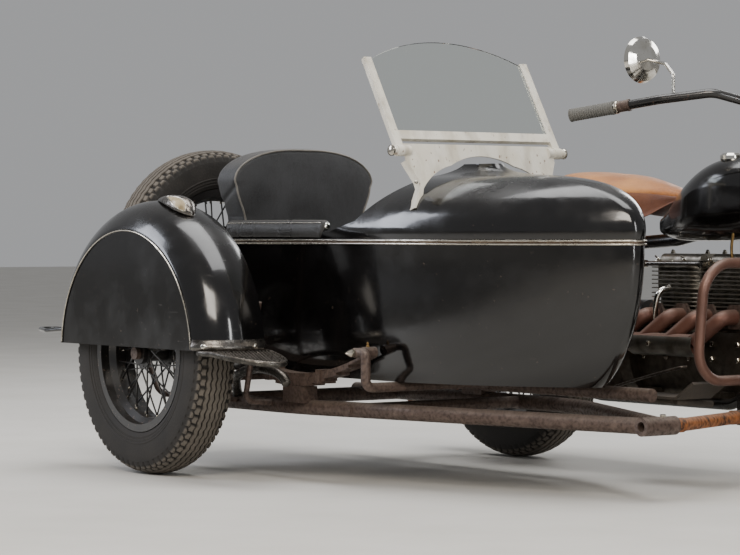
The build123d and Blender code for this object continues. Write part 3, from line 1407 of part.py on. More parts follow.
def front_spring():
    """The quarter leaf spring over the fender, with its yoke and the rods down to the axle."""
    seat_top = HEAD_TUBE_BOTTOM - CROWN_GAP - CROWN_THICKNESS - 0.3
    pieces = [steering_block(seat_top - 26, seat_top, 26, 66, 30)]
    start_x, _, start_z = to_steering(seat_top - 32, 46)
    top = start_z + 14
    bend_x = start_x + 70
    slope = -22 / (FRONT_SPRING_EYE_X - bend_x)

    def main_line(x):
        return top + 2 + slope * (x - bend_x)

    outline = [(start_x - 24, top), (bend_x, top + 2), (FRONT_SPRING_EYE_X, main_line(FRONT_SPRING_EYE_X))]
    for index in range(FRONT_SPRING_LEAVES):
        end = FRONT_SPRING_EYE_X - index * 48
        under = (index + 1) * SPRING_LEAF
        outline.append((end, main_line(end) - under))
        if index < FRONT_SPRING_LEAVES - 1:
            outline.append((end - 48, main_line(end - 48) - under))
    outline.append((bend_x, main_line(bend_x) - FRONT_SPRING_LEAVES * SPRING_LEAF))
    outline.append((start_x - 24, top - FRONT_SPRING_LEAVES * SPRING_LEAF))
    pieces.append(side_plate(outline, -26, 26))
    eye_z = start_z + 14 - 20 - 4
    yoke_x = FRONT_SPRING_EYE_X + 8
    yoke_end = FORK_LEG_OFFSET + 11
    yoke = rod((yoke_x, -yoke_end, eye_z), (yoke_x, yoke_end, eye_z), 24)
    for side in (-1, 1):
        y = side * FORK_LEG_OFFSET
        foot = (WHEELBASE + 12, y, TYRE_RADIUS + 27)
        knee = (WHEELBASE + 20, y, TYRE_RADIUS + 70)
        pieces.append(bent_tube([(yoke_x, y, eye_z + 6), knee, foot], 16, [30]))
    return yoke.fuse(*pieces)


def headlamp():
    """The lamp's shell: a turned bowl with a rim, open at the front for the lens."""
    shell = turned(
        [(0, 0), (30, 4), (70, 40), (92, 96), (98, 100), (98, 122), (90, 122), (86, 98), (64, 46), (26, 12), (0, 10)]
    )
    place = Pos(HEADLAMP_X, 0, HEADLAMP_Z) * Rot(Y=90)
    top = HEAD_TUBE_BOTTOM - CROWN_GAP + 0.3
    pad = steering_block(top, top + 10, 34, 62, 24)
    pillar = rod(to_steering(top + 12, 50), (HEADLAMP_X + 44, 0, HEADLAMP_Z - 60), 22)
    foot = rod(to_steering(top + 2, 50), to_steering(top + 16, 50), 26)
    return (place * shell).fuse(pad, pillar, foot)


def headlamp_lens():
    """The bowed lens in the lamp's rim."""
    rise = 16
    edge = 86.3
    radius = (edge**2 + rise**2) / (2 * rise)
    half_angle = asin(edge / radius) / 2
    mid = (radius * sin(half_angle), LENS_EDGE + rise - radius + radius * cos(half_angle))
    outline = [
        Line((0, LENS_EDGE - 6), (edge, LENS_EDGE - 6)),
        Line((edge, LENS_EDGE - 6), (edge, LENS_EDGE)),
        ThreePointArc((edge, LENS_EDGE), mid, (0, LENS_EDGE + rise)),
        Line((0, LENS_EDGE + rise), (0, LENS_EDGE - 6)),
    ]
    lens = revolve(Plane.XZ * make_face(Curve() + outline), Axis.Z)
    return Pos(HEADLAMP_X, 0, HEADLAMP_Z) * Rot(Y=90) * lens


def handlebar():
    """The bar clamped on the upper crown, rising, spreading and sweeping back to the grips."""
    low = HEAD_TUBE_TOP + CROWN_GAP + CROWN_THICKNESS + 0.3
    centre = to_steering(low + 34, BAR_CLAMP_FORWARD)
    half = [
        centre,
        (centre[0], -60, centre[2]),
        (BAR_RISE_BEND[0], -BAR_RISE_BEND[1], BAR_RISE_BEND[2]),
        (BAR_SWEEP_BEND[0], -BAR_SWEEP_BEND[1], BAR_SWEEP_BEND[2]),
        (BAR_END[0], -BAR_END[1], BAR_END[2]),
    ]
    right = bent_tube(half, BAR_DIAMETER, [40, 70, 90])
    risers = [
        rod(to_steering(low, BAR_CLAMP_FORWARD, y), to_steering(low + 40, BAR_CLAMP_FORWARD, y), 30)
        for y in (-34, 34)
    ]
    return mirrored(right).fuse(*risers)


def grip_point(side, back):
    """A point on the line of the bar's end."""
    start = Vector(BAR_SWEEP_BEND[0], side * BAR_SWEEP_BEND[1], BAR_SWEEP_BEND[2])
    end = Vector(BAR_END[0], side * BAR_END[1], BAR_END[2])
    return end + (start - end).normalized() * back


def grips():
    """Rubber grips, sleeves over the bar's ends."""
    pieces = []
    for side in (-1, 1):
        near = grip_point(side, 118)
        far = grip_point(side, -14)
        sleeve = rod(near, far, 36) - rod(near, grip_point(side, -0.3), BAR_DIAMETER + 0.6)
        pieces.append(sleeve)
    return pieces[0] + pieces[1]


def mirror_head():
    """A round mirror on a bent stalk that stands on the right bar."""
    foot_x = BAR_SWEEP_BEND[0] + 30
    head_x, head_y, head_z = MIRROR_PLACE
    stalk = bent_tube(
        [(foot_x, -278.5, head_z - 96.4), (foot_x, -279, head_z - 48), (head_x + 78, -262, head_z - 16),
         (head_x - 6, head_y, head_z)],
        9,
        [16, 24],
    )
    shell = turned([(0, 0), (34, 5), (58, 18), (63.5, 30), (60, 33), (0, 33)])
    return (Pos(*MIRROR_PLACE) * Rot(Y=-90) * shell).fuse(stalk)


def crash_bar():
    """A loop on each side of the down tube, in front of the engine."""
    high = down_tube_x(CRASH_TOP)
    low = down_tube_x(CRASH_LOW)
    start = (FRAME_TUBE + 2) / 2 + 0.3
    half = [
        (high, -start, CRASH_TOP),
        (high, -CRASH_HALF, CRASH_TOP),
        (low, -CRASH_HALF, CRASH_LOW),
        (low, -start, CRASH_LOW),
    ]
    right = bent_tube(half, CRASH_TUBE, [90, 90])
    return mirrored(right)


def footboards():
    """Two long boards with upturned toes on their brackets."""
    boards = []
    for side in (-1, 1):
        inner = side * 168
        outer = side * 296
        low = min(inner, outer)
        high = max(inner, outer)
        z = FOOTBOARD_Z
        board = side_plate(
            [(800, z), (1010, z), (1078, z + 44), (1073, z + 50), (1007, z + 7), (800, z + 7)], low, high
        )
        bars = [rod((x, side * (CRADLE_Y + 15.3), CRADLE_Z), (x, side * 270, z - 6), 18) for x in (840, 980)]
        boards.append(board.fuse(*bars))
    return boards[0] + boards[1]


def kick_starter():
    """The folding kick lever on the gearbox's right side."""
    shaft = rod((GEARBOX_REAR + 40, -78.2, 300), (GEARBOX_REAR + 40, -124, 300), 26)
    arm = rod((GEARBOX_REAR + 40, -118, 300), (GEARBOX_REAR - 90, -140, 452), 16)
    pedal = rod((GEARBOX_REAR - 90, -128, 452), (GEARBOX_REAR - 90, -214, 452), 22)
    return shaft.fuse(arm, pedal)


def chain_loop():
    """The final drive chain as one fixed loop from the gearbox to the rear wheel."""
    y = CHAIN_Y
    front = (GEARBOX_REAR + 40, CHAIN_FRONT_Z)
    rear = (0, TYRE_RADIUS)
    return chain_band(front, 34, rear, REAR_SPROCKET_RADIUS + 3, y, 12, 9)


def chain_band(front, front_r, rear, rear_r, y, width, depth):
    """A closed belt shape round two circles."""
    def loop(extra):
        span_x = front[0] - rear[0]
        span_z = front[1] - rear[1]
        length = sqrt(span_x**2 + span_z**2)
        tilt = degrees(atan2(span_z, span_x))
        a = degrees(acos((rear_r - front_r) / length))
        first = front_r + extra
        second = rear_r + extra

        def at(centre, r, angle):
            t = radians(angle + tilt)
            return (centre[0] + r * cos(t), centre[1] + r * sin(t))

        parts = [
            Line(at(rear, second, a), at(front, first, a)),
            ThreePointArc(at(front, first, a), at(front, first, 0), at(front, first, -a)),
            Line(at(front, first, -a), at(rear, second, -a)),
            ThreePointArc(at(rear, second, -a), at(rear, second, 180), at(rear, second, a)),
        ]
        return make_face(Curve() + parts)
    ring = loop(depth) - loop(0)
    return extrude(Pos(0, y + width / 2, 0) * (Plane.XZ * ring), width, dir=(0, -1, 0))


def front_sprocket():
    """The gearbox's chain wheel."""
    sprocket_x = GEARBOX_REAR + 40
    return rod((sprocket_x, 78.2, CHAIN_FRONT_Z), (sprocket_x, CHAIN_Y + 5, CHAIN_FRONT_Z), 66.4)


def write(name, shape):
    """Writes one piece in the part's own frame."""
    placed = Pos(-ORIGIN_X, -ORIGIN_Y, 0) * shape
    export_step(placed, "parts/" + name + ".step")


def main():
    """Builds every piece and writes it under its node's name."""
    os.makedirs("parts", exist_ok=True)
    one_tyre = tyre()
    one_wheel = wire_wheel(True)
    plain_wheel = wire_wheel(False)
    sidecar_y = -TRACK
    write("rear_tyre", wheel_place(0, 0) * one_tyre)
    write("rear_wheel", wheel_place(0, 0) * rear_wheel())
    write("front_tyre", wheel_place(WHEELBASE, 0) * one_tyre)
    write("front_wheel", wheel_place(WHEELBASE, 0) * one_wheel)
    write("sidecar_tyre", wheel_place(SIDECAR_AXLE_X, sidecar_y) * one_tyre)
    write("sidecar_wheel", wheel_place(SIDECAR_AXLE_X, sidecar_y) * plain_wheel)
    spare = Pos(SPARE_X, BODY_Y, SPARE_Z) * Rot(Y=-90)
    write("spare_tyre", spare * one_tyre)
    write("spare_wheel", spare * plain_wheel)
    write("sidecar_tub", sidecar_tub())
    write("sidecar_cowl", sidecar_cowl())
    write("rear_deck", rear_deck())
    write("belt_moulding", belt_moulding())
    write("seat_cushion", seat_cushion())
    write("seat_back", seat_back())
    write("cockpit_rail", cockpit_rail())
    write("windscreen_frame", windscreen_frame())
    write("windscreen_glass", windscreen_glass())
    write("windscreen_bracket", windscreen_bracket())
    write("sidecar_fender", sidecar_fender())
    write("marker_lamp", marker_lamp())
    write("fender_step", fender_step())
    write("leaf_springs", leaf_springs())
    write("body_brackets", body_brackets())
    write("sidecar_chassis", sidecar_chassis())
    write("chassis_links", chassis_links())
    write("spare_carrier", spare_carrier())
    write("motorcycle_frame", motorcycle_frame())
    write("plunger_springs", plunger_springs())
    write("crankcase", crankcase())
    write("cylinder_blocks", cylinder_blocks())
    write("cylinder_heads", cylinder_heads())
    write("exhaust", exhaust())
    write("heat_shield", heat_shield())
    write("intake", intake())
    write("generator", generator())
    write("fuel_tank", fuel_tank())
    write("tank_caps", tank_caps())
    write("saddle", saddle())
    write("rear_fender", rear_fender())
    write("tail_lamp", tail_lamp())
    write("crash_bar", crash_bar())
    write("footboards", footboards())
    write("kick_starter", kick_starter())
    write("drive_chain", chain_loop() + front_sprocket())
    write("fork", fork())
    write("front_spring", front_spring())
    write("front_fender", front_fender())
    write("headlamp", headlamp())
    write("headlamp_lens", headlamp_lens())
    write("handlebar", handlebar())
    write("grips", grips())
    write("mirror", mirror_head())


main()
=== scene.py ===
# %% [markdown]
# # A sidecar motorcycle in aged black, cream and rust
# The solid frame of the vehicle comes from its construction model. This script gives every solid its
# finish and adds what a solid model leaves out: tyre treads, stuffed leather, screws, chain links.
# Sizes are written in millimetres from the rear axle, the way a workshop would measure the machine.

# %% Load the frame
import bmesh
import bpy
import numpy as np
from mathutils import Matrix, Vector
from mathutils.bvhtree import BVHTree


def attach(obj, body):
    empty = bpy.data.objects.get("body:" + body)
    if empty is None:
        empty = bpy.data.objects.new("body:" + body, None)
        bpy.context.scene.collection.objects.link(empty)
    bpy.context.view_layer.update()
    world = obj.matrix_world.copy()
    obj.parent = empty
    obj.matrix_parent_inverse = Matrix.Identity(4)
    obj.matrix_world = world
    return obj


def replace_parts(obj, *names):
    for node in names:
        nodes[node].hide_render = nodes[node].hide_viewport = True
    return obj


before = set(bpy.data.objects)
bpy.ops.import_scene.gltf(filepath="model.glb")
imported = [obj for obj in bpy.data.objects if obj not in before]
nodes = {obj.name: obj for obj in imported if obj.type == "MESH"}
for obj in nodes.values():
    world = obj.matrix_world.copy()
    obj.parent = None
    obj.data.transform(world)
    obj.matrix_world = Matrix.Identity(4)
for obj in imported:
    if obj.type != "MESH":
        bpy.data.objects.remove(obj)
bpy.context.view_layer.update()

# %% [markdown]
# Every new piece is a grid of points: a shape is a function of two parameters, worked out for all
# points at once. One helper turns workshop millimetres into the part's own metres, and one joins the
# neighbouring points of a grid into four-sided faces. Working on whole arrays keeps each shape short
# enough to read, and a change of one number changes the whole surface.

# %% Grids of points
# Middle of the vehicle in workshop millimetres, and the sidecar's own middle plane
SHIFT = np.array([600.0, -440.0, 0.0])
MIDDLE_Y = -678


def place(points):
    """Takes the middle of the vehicle from a point in millimetres, then divides by a thousand."""
    return (np.asarray(points, float) - SHIFT) / 1000


def grid_faces(rows, columns, wrap_rows=False):
    """Each face joins a point, its neighbour in the next row, the one beside that, and its own neighbour."""
    i = np.arange(rows if wrap_rows else rows - 1)
    i, j = np.meshgrid(i, np.arange(columns), indexing="ij")
    below, beside = (i + 1) % rows, (j + 1) % columns
    corners = [i * columns + j, below * columns + j, below * columns + beside, i * columns + beside]
    return np.stack(corners, -1).reshape(-1, 4)


def unit(vectors):
    """Each vector divided by its length."""
    vectors = np.asarray(vectors, float)
    return vectors / np.linalg.norm(vectors, axis=-1, keepdims=True)


def axes_along(directions):
    """Three square axes for each direction: the third is the direction, the first lies across it."""
    along = unit(directions)
    helper = np.where(np.abs(along[..., 2:3]) < 0.9, [0.0, 0.0, 1.0], [1.0, 0.0, 0.0])
    across = unit(np.cross(helper, along))
    return np.stack([across, np.cross(along, across), along], -1)


def turned(profile, sides=24):
    """Each (radius, height) of the profile goes once round the third axis: x = r cos a, y = r sin a."""
    radius, height = np.asarray(profile, float).T
    angle = np.arange(sides) * 2 * np.pi / sides
    x = radius[:, None] * np.cos(angle)
    y = radius[:, None] * np.sin(angle)
    z = np.broadcast_to(height[:, None], x.shape)
    return np.stack([x, y, z], -1).reshape(-1, 3), grid_faces(len(radius), sides)


def copies(shape, places, directions):
    """The same shape at every place, its third axis turned to that place's direction."""
    points, faces = shape
    turn = axes_along(directions)
    moved = np.einsum("kij,nj->kni", turn, points) + np.asarray(places, float)[:, None]
    shift = np.arange(len(moved))[:, None, None] * len(points)
    return moved.reshape(-1, 3), (faces[None] + shift).reshape(-1, 4)


def together(*shapes):
    """Several shapes as one list of points and faces."""
    points, faces, count = [], [], 0
    for shape_points, shape_faces in shapes:
        points.append(shape_points)
        faces.append(shape_faces + count)
        count += len(shape_points)
    return np.concatenate(points), np.concatenate(faces)


# %% [markdown]
# Rods, seams and tubes are a small profile carried along a path. At each path point the path's own
# direction and a fixed side direction span the profile's plane, so the tube doesn't twist. The ends
# are closed by a last row of points that all lie on the path, which merge into one.

# %% Tubes along a path
def smooth_path(corners, steps=10):
    """Through each corner in turn on a cubic whose slope there is half the way between its neighbours."""
    corners = np.asarray(corners, float)
    padded = np.concatenate([2 * corners[:1] - corners[1:2], corners, 2 * corners[-1:] - corners[-2:-1]])
    before, start, end, after = padded[:-3], padded[1:-2], padded[2:-1], padded[3:]
    t = np.arange(steps)[:, None, None] / steps
    cubic = 0.5 * (2 * start + (end - before) * t + (2 * before - 5 * start + 4 * end - after) * t**2
                   + (3 * start - before - 3 * end + after) * t**3)
    return np.concatenate([cubic.transpose(1, 0, 2).reshape(-1, corners.shape[1]), corners[-1:]])


def tube(path, radius, sides, side=(0.0, 0.0, 1.0)):
    """Point = path + radius (cos a across + sin a up), with the ends drawn to the path itself."""
    path = np.asarray(path, float)
    along = unit(np.gradient(path, axis=0))
    across = unit(np.cross(np.asarray(side, float), along))
    up = np.cross(along, across)
    size = np.broadcast_to(np.asarray(radius, float), (len(path),)).copy()
    path = np.concatenate([path[:1], path, path[-1:]])
    across = np.concatenate([across[:1], across, across[-1:]])
    up = np.concatenate([up[:1], up, up[-1:]])
    size = np.concatenate([[0.0], size, [0.0]])
    angle = np.arange(sides) * 2 * np.pi / sides
    ring = across[:, None] * np.cos(angle)[:, None] + up[:, None] * np.sin(angle)[:, None]
    points = path[:, None] + size[:, None, None] * ring
    return points.reshape(-1, 3), grid_faces(len(path), sides)


# %% [markdown]
# A piece's mesh is filled from the arrays in one go. Points that fall together at a pole are merged,
# faces are turned to point outwards, and edges sharper than an angle stay crisp while the rest shade
# smoothly, as on metal that was turned or pressed.

# %% Meshes from arrays
def make(name, shape, body, look, crisp=38):
    """Puts a shape's points and faces into a mesh object that rides on a body and wears a finish."""
    points, faces = shape
    mesh = bpy.data.meshes.new(name)
    mesh.vertices.add(len(points))
    mesh.vertices.foreach_set("co", np.asarray(points, np.float32).ravel())
    mesh.loops.add(faces.size)
    mesh.loops.foreach_set("vertex_index", faces.astype(np.int32).ravel())
    mesh.polygons.add(len(faces))
    mesh.polygons.foreach_set("loop_start", np.arange(0, faces.size, 4, dtype=np.int32))
    mesh.update(calc_edges=True)
    form = bmesh.new()
    form.from_mesh(mesh)
    bmesh.ops.remove_doubles(form, verts=form.verts, dist=1e-6)
    bmesh.ops.recalc_face_normals(form, faces=form.faces)
    form.to_mesh(mesh)
    form.free()
    mesh.polygons.foreach_set("use_smooth", np.ones(len(mesh.polygons), bool))
    mesh.set_sharp_from_angle(angle=np.radians(crisp))
    piece = bpy.data.objects.new(name, mesh)
    bpy.context.scene.collection.objects.link(piece)
    mesh.materials.append(look)
    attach(piece, body)
    print(name, len(mesh.polygons), "faces")
    return piece


# %% [markdown]
# ## Finishes
# A finish is a small network: cloudy noise at a real size in millimetres gives a mask, masks mix
# colours and roughness, and the same masks lift or sink the surface a little. A material that only has
# one colour looks like plastic, so each metal here carries dust, scratches or rust as well. Values
# that are the same all over go straight onto the shader.

# %% Nodes and colours
def colour(code):
    """Screen value to light value: below 0.04 a twelfth, above it ((v + 0.055) / 1.055) to the power 2.4."""
    value = np.array([int(code[i:i + 2], 16) for i in (1, 3, 5)]) / 255
    linear = np.where(value < 0.04045, value / 12.92, ((value + 0.055) / 1.055) ** 2.4)
    return (*linear.tolist(), 1.0)


def add(tree, kind, inputs=None, output=0, **settings):
    """One node: each input is a value, or another node's output to link; gives back one of its outputs."""
    node = tree.nodes.new("ShaderNode" + kind)
    for name, value in settings.items():
        setattr(node, name, value)
    for name, value in (inputs or {}).items():
        if isinstance(value, bpy.types.NodeSocket):
            tree.links.new(value, node.inputs[name])
        else:
            node.inputs[name].default_value = value
    return node.outputs[output]


# Settings that many nodes share. A mask stays between 0 and 1 whatever is done to it
PRODUCT = {"operation": "MULTIPLY", "use_clamp": True}
LARGER = {"operation": "MAXIMUM", "use_clamp": True}
SUM = {"operation": "ADD", "use_clamp": True}
TINT = {"data_type": "RGBA"}


def clouds(tree, size, low, high, stretch=(1, 1, 1), detail=5.0):
    """A mask from 0 to 1 out of noise whose patches are about size millimetres, cut between two levels."""
    where = add(tree, "Mapping", {"Vector": add(tree, "TexCoord", output="Object"), "Scale": stretch})
    noise = add(tree, "TexNoise", {"Vector": where, "Scale": 1000 / size, "Detail": detail})
    return add(tree, "MapRange", {"Value": noise, "From Min": low, "From Max": high})


def facing_up(tree, low=0.25, high=0.95):
    """A mask of the surfaces that look upwards, where dust settles."""
    up = add(tree, "SeparateXYZ", {0: add(tree, "NewGeometry", output="Normal")}, 2)
    return add(tree, "MapRange", {"Value": up, "From Min": low, "From Max": high})


def height(tree, low, high):
    """A mask over the height above the floor, in metres: 0 at low, 1 at high."""
    z = add(tree, "SeparateXYZ", {0: add(tree, "TexCoord", output="Object")}, 2)
    return add(tree, "MapRange", {"Value": z, "From Min": low, "From Max": high})


def finish(name, **sockets):
    """A new material; sockets are named in words, such as metallic or coat_weight, with one value each."""
    look = bpy.data.materials.new(name)
    look.use_nodes = True
    shader = look.node_tree.nodes["Principled BSDF"]
    for words, value in sockets.items():
        shader.inputs[words.replace("_", " ").title().replace("Ior", "IOR")].default_value = value
    return look, look.node_tree, shader


def wear(tree, shader, tone, roughness, normal=None):
    """Links a colour, a roughness and a relief to the shader."""
    tree.links.new(tone, shader.inputs["Base Color"])
    tree.links.new(roughness, shader.inputs["Roughness"])
    if normal is not None:
        tree.links.new(normal, shader.inputs["Normal"])


# %% [markdown]
# Old black enamel is deep and shiny, but close up it is full of hair-fine scratches, dull patches and
# grey-brown dust on whatever faces the sky. Scratches are noise that is stretched thirty times across
# one direction; chips are small patches where a brown undercoat shows. The lower a panel sits, the
# more the road has marked it.

# %% Black enamels
def enamel(name, base, undercoat, dust, gloss, marks, chips):
    """Enamel = base colour, lightened by stretched scratches, broken by chips, veiled by dust."""
    look, tree, shader = finish(name, coat_weight=0.35, coat_roughness=0.06, specular_ior_level=0.5)
    hairs = clouds(tree, 9, 0.66, 0.76, (1, 1, 30), 3.0)
    scuffs = clouds(tree, 26, 0.66, 0.76, (0.5, 0.5, 4), 8.0)
    low_down = add(tree, "MapRange", {"Value": height(tree, 0.25, 0.75), "To Min": 1.0, "To Max": marks})
    scratched = add(tree, "Math", {0: hairs, 1: scuffs}, **LARGER)
    scratched = add(tree, "Math", {0: scratched, 1: low_down}, **PRODUCT)
    faint = add(tree, "Math", {0: scratched, 1: 0.25}, **PRODUCT)
    chipped = clouds(tree, 9, chips, chips + 0.02, detail=9.0)
    chipped = add(tree, "Math", {0: chipped, 1: low_down}, **PRODUCT)
    dusty = add(tree, "Math", {0: facing_up(tree), 1: clouds(tree, 160, 0.3, 0.75, detail=8.0)}, **PRODUCT)
    veil = add(tree, "Math", {0: dusty, 1: dust}, **PRODUCT)
    tone = add(tree, "Mix", {0: faint, 6: colour(base), 7: colour("#3c3631")}, 2, **TINT)
    tone = add(tree, "Mix", {0: chipped, 6: tone, 7: colour(undercoat)}, 2, **TINT)
    tone = add(tree, "Mix", {0: veil, 6: tone, 7: colour("#6f665b")}, 2, **TINT)
    dull = add(tree, "Math", {0: clouds(tree, 90, 0.45, 0.85, detail=7.0), 1: scratched}, **LARGER)
    rough = add(tree, "MapRange", {"Value": dull, "To Min": gloss, "To Max": gloss + 0.22})
    matt_dust = add(tree, "Math", {0: dusty, 1: 0.25}, **PRODUCT)
    wear(tree, shader, tone, add(tree, "Math", {0: rough, 1: matt_dust}, **SUM))
    return look


# Deep gloss for the sidecar's body and the fenders
body_enamel = enamel("aged_body_enamel", "#070606", "#4c4139", 0.05, 0.12, 0.35, 0.70)
# Duller, browner black for frame tubes and the fork
frame_enamel = enamel("worn_frame_enamel", "#0e0c0b", "#4d3a30", 0.14, 0.26, 0.7, 0.66)
# Dusty black for rims, hubs and spokes
wheel_enamel = enamel("dusty_wheel_enamel", "#100e0d", "#54483f", 0.2, 0.3, 0.7, 0.64)

# %% [markdown]
# The windscreen's frame and bracket were painted cream long ago. The paint has yellowed, it is chipped
# to rust along its lower ends, and dark dirt runs down from the screws. A noise that is stretched
# along the height makes the runs.

# %% Cream paint
def aged_cream():
    """Cream that turns to stain, then to rust where a sharp-cut noise breaks it."""
    look, tree, shader = finish("aged_cream_paint", coat_weight=0.15, coat_roughness=0.3)
    runs = clouds(tree, 34, 0.45, 0.8, (1, 1, 0.16), 8.0)
    stain = add(tree, "Math", {0: clouds(tree, 60, 0.4, 0.75, detail=9.0), 1: 0.45}, **PRODUCT)
    rusty = clouds(tree, 13, 0.65, 0.68, (1, 1, 0.7), 10.0)
    lower = add(tree, "MapRange", {"Value": height(tree, 0.84, 0.93), "To Min": 1.0, "To Max": 0.35})
    rusted_through = add(tree, "Math", {0: rusty, 1: lower}, **PRODUCT)
    tone = add(tree, "Mix", {0: runs, 6: colour("#dcd8cc"), 7: colour("#a8a08f")}, 2, **TINT)
    tone = add(tree, "Mix", {0: stain, 6: tone, 7: colour("#c9bfa6")}, 2, **TINT)
    tone = add(tree, "Mix", {0: rusted_through, 6: tone, 7: colour("#6b4a33")}, 2, **TINT)
    wear(tree, shader, tone, add(tree, "MapRange", {"Value": rusty, "To Min": 0.38, "To Max": 0.85}))
    return look


# Frame and bracket of the windscreen, yellowed and stained
cream = aged_cream()

# %% [markdown]
# Bare and rusted steel has three tones: a dull rose-brown skin, darker scabs and paler dust. The
# chassis tubes of the real machine look almost pink where old paint wore through to the scale, and the
# exhaust pipes are browned by heat. One function covers them all, with its three colours given.

# %% Rusted and bare steel
def rusted(name, skin, scab, bloom, metallic, rough=(0.55, 0.9), size=22):
    """Rust = skin, darkened by scabs, brightened by bloom, with pits as deep as a fifth of a millimetre."""
    look, tree, shader = finish(name, metallic=metallic)
    scabs = clouds(tree, size, 0.42, 0.66, detail=10.0)
    blooms = add(tree, "Math", {0: clouds(tree, size * 3, 0.5, 0.72, detail=8.0), 1: 0.6}, **PRODUCT)
    dusty = add(tree, "Math", {0: facing_up(tree), 1: 0.25}, **PRODUCT)
    grains = clouds(tree, 2.2, 0.3, 0.7, detail=4.0)
    tone = add(tree, "Mix", {0: scabs, 6: colour(skin), 7: colour(scab)}, 2, **TINT)
    tone = add(tree, "Mix", {0: blooms, 6: tone, 7: colour(bloom)}, 2, **TINT)
    tone = add(tree, "Mix", {0: dusty, 6: tone, 7: colour("#a3968a")}, 2, **TINT)
    pits = add(tree, "Bump", {"Height": grains, "Distance": 0.0002, "Strength": 1.0})
    matt = add(tree, "MapRange", {"Value": scabs, "To Min": rough[0], "To Max": rough[1]})
    wear(tree, shader, tone, matt, pits)
    return look


# Rose-brown tubes and brackets of the sidecar's undercarriage
chassis_rust = rusted("rose_brown_steel", "#54453d", "#3a2d27", "#6f5f55", 0.35, (0.4, 0.7), 9)
# The crash bar, smooth and rosy where heat and hands have browned its paint
bar_brown = rusted("rosy_bar_steel", "#6d4f44", "#5a4037", "#8a6a5d", 0.35, (0.32, 0.5), 70)
# The open joint between sidecar and motorcycle, orange with fresh rust over black paint
link_rust = rusted("orange_link_rust", "#8f5527", "#35231a", "#b46f35", 0.2, (0.6, 0.9), 14)
# Heat-tanned exhaust pipes
pipe_heat = rusted("heat_tanned_steel", "#6b483c", "#4b3028", "#835e4f", 0.4, (0.42, 0.62), 50)
# Dull shield over the collector
shield_skin = rusted("dull_shield_steel", "#6b675f", "#453f37", "#8b867b", 0.85, (0.28, 0.5), 60)
# Dull dark chrome of the fender's band
dim_chrome = rusted("dim_chrome", "#6d6a66", "#3c3733", "#94918b", 0.95, (0.16, 0.34), 30)
# Tread plate of the sidecar, dark with worn ridges
step_steel = rusted("worn_step_steel", "#55524d", "#2d2a27", "#85817a", 0.85, (0.25, 0.5), 18)
# Oily chain and kick lever
oily_steel = rusted("oily_steel", "#4a433c", "#2a221d", "#6d6258", 0.8, (0.3, 0.6), 12)

# %% [markdown]
# Chrome that has lived outdoors is still bright but peppered with tiny rust pits, and cast alloy is a
# milky grey that turns darker towards the bottom of each part, painted shade mixed with grime. Both are
# metals, so their colour is the colour of their reflections.

# %% Chrome and alloy
def pitted_chrome():
    """Bright metal, dulled by smears, with brown pits of a millimetre or two."""
    look, tree, shader = finish("pitted_chrome", metallic=1.0)
    smears = clouds(tree, 45, 0.4, 0.8, detail=8.0)
    pits = clouds(tree, 3.5, 0.66, 0.72, detail=6.0)
    tone = add(tree, "Mix", {0: smears, 6: colour("#d9d6cf"), 7: colour("#aaa496")}, 2, **TINT)
    tone = add(tree, "Mix", {0: pits, 6: tone, 7: colour("#5a4332")}, 2, **TINT)
    dull = add(tree, "Math", {0: smears, 1: pits}, **LARGER)
    wear(tree, shader, tone, add(tree, "MapRange", {"Value": dull, "To Min": 0.08, "To Max": 0.36}))
    return look


def cast_alloy(name, pale, dark):
    """Milky metal with fine casting grain, darker towards the bottom: painted shade mixed with grime."""
    look, tree, shader = finish(name, metallic=0.9)
    mottle = clouds(tree, 24, 0.35, 0.7, detail=9.0)
    grain = clouds(tree, 1.6, 0.3, 0.7, detail=3.0)
    # Painted shade mixed with grime: a brown-grey that grows towards the bottom of the part, in patches
    lower = add(tree, "MapRange", {"Value": height(tree, 0.2, 0.5), "To Min": 0.85, "To Max": 0.15})
    shade_and_grime = add(tree, "Math", {0: lower, 1: clouds(tree, 70, 0.3, 0.7)}, **PRODUCT)
    tone = add(tree, "Mix", {0: mottle, 6: colour(pale), 7: colour(dark)}, 2, **TINT)
    tone = add(tree, "Mix", {0: shade_and_grime, 6: tone, 7: colour("#4d4238")}, 2, **TINT)
    sand = add(tree, "Bump", {"Height": grain, "Distance": 0.00015, "Strength": 1.0})
    wear(tree, shader, tone, add(tree, "MapRange", {"Value": mottle, "To Min": 0.32, "To Max": 0.55}), sand)
    return look


# Tank caps, mirror, lamp shells and some pipes
chrome = pitted_chrome()
# Fins of cylinders and heads
alloy = cast_alloy("aged_cast_alloy", "#9c978d", "#5f594f")
# Crankcase and gearbox, nearly black with oil and dust, and dark with painted shade low down
case_alloy = cast_alloy("oily_case_alloy", "#59544c", "#322d27")

# %% [markdown]
# Tyre rubber is nearly black under a coat of dry road dust, which is thickest on the crown of the
# tread. The board mats and the handle grips are the same stuff with less dust.

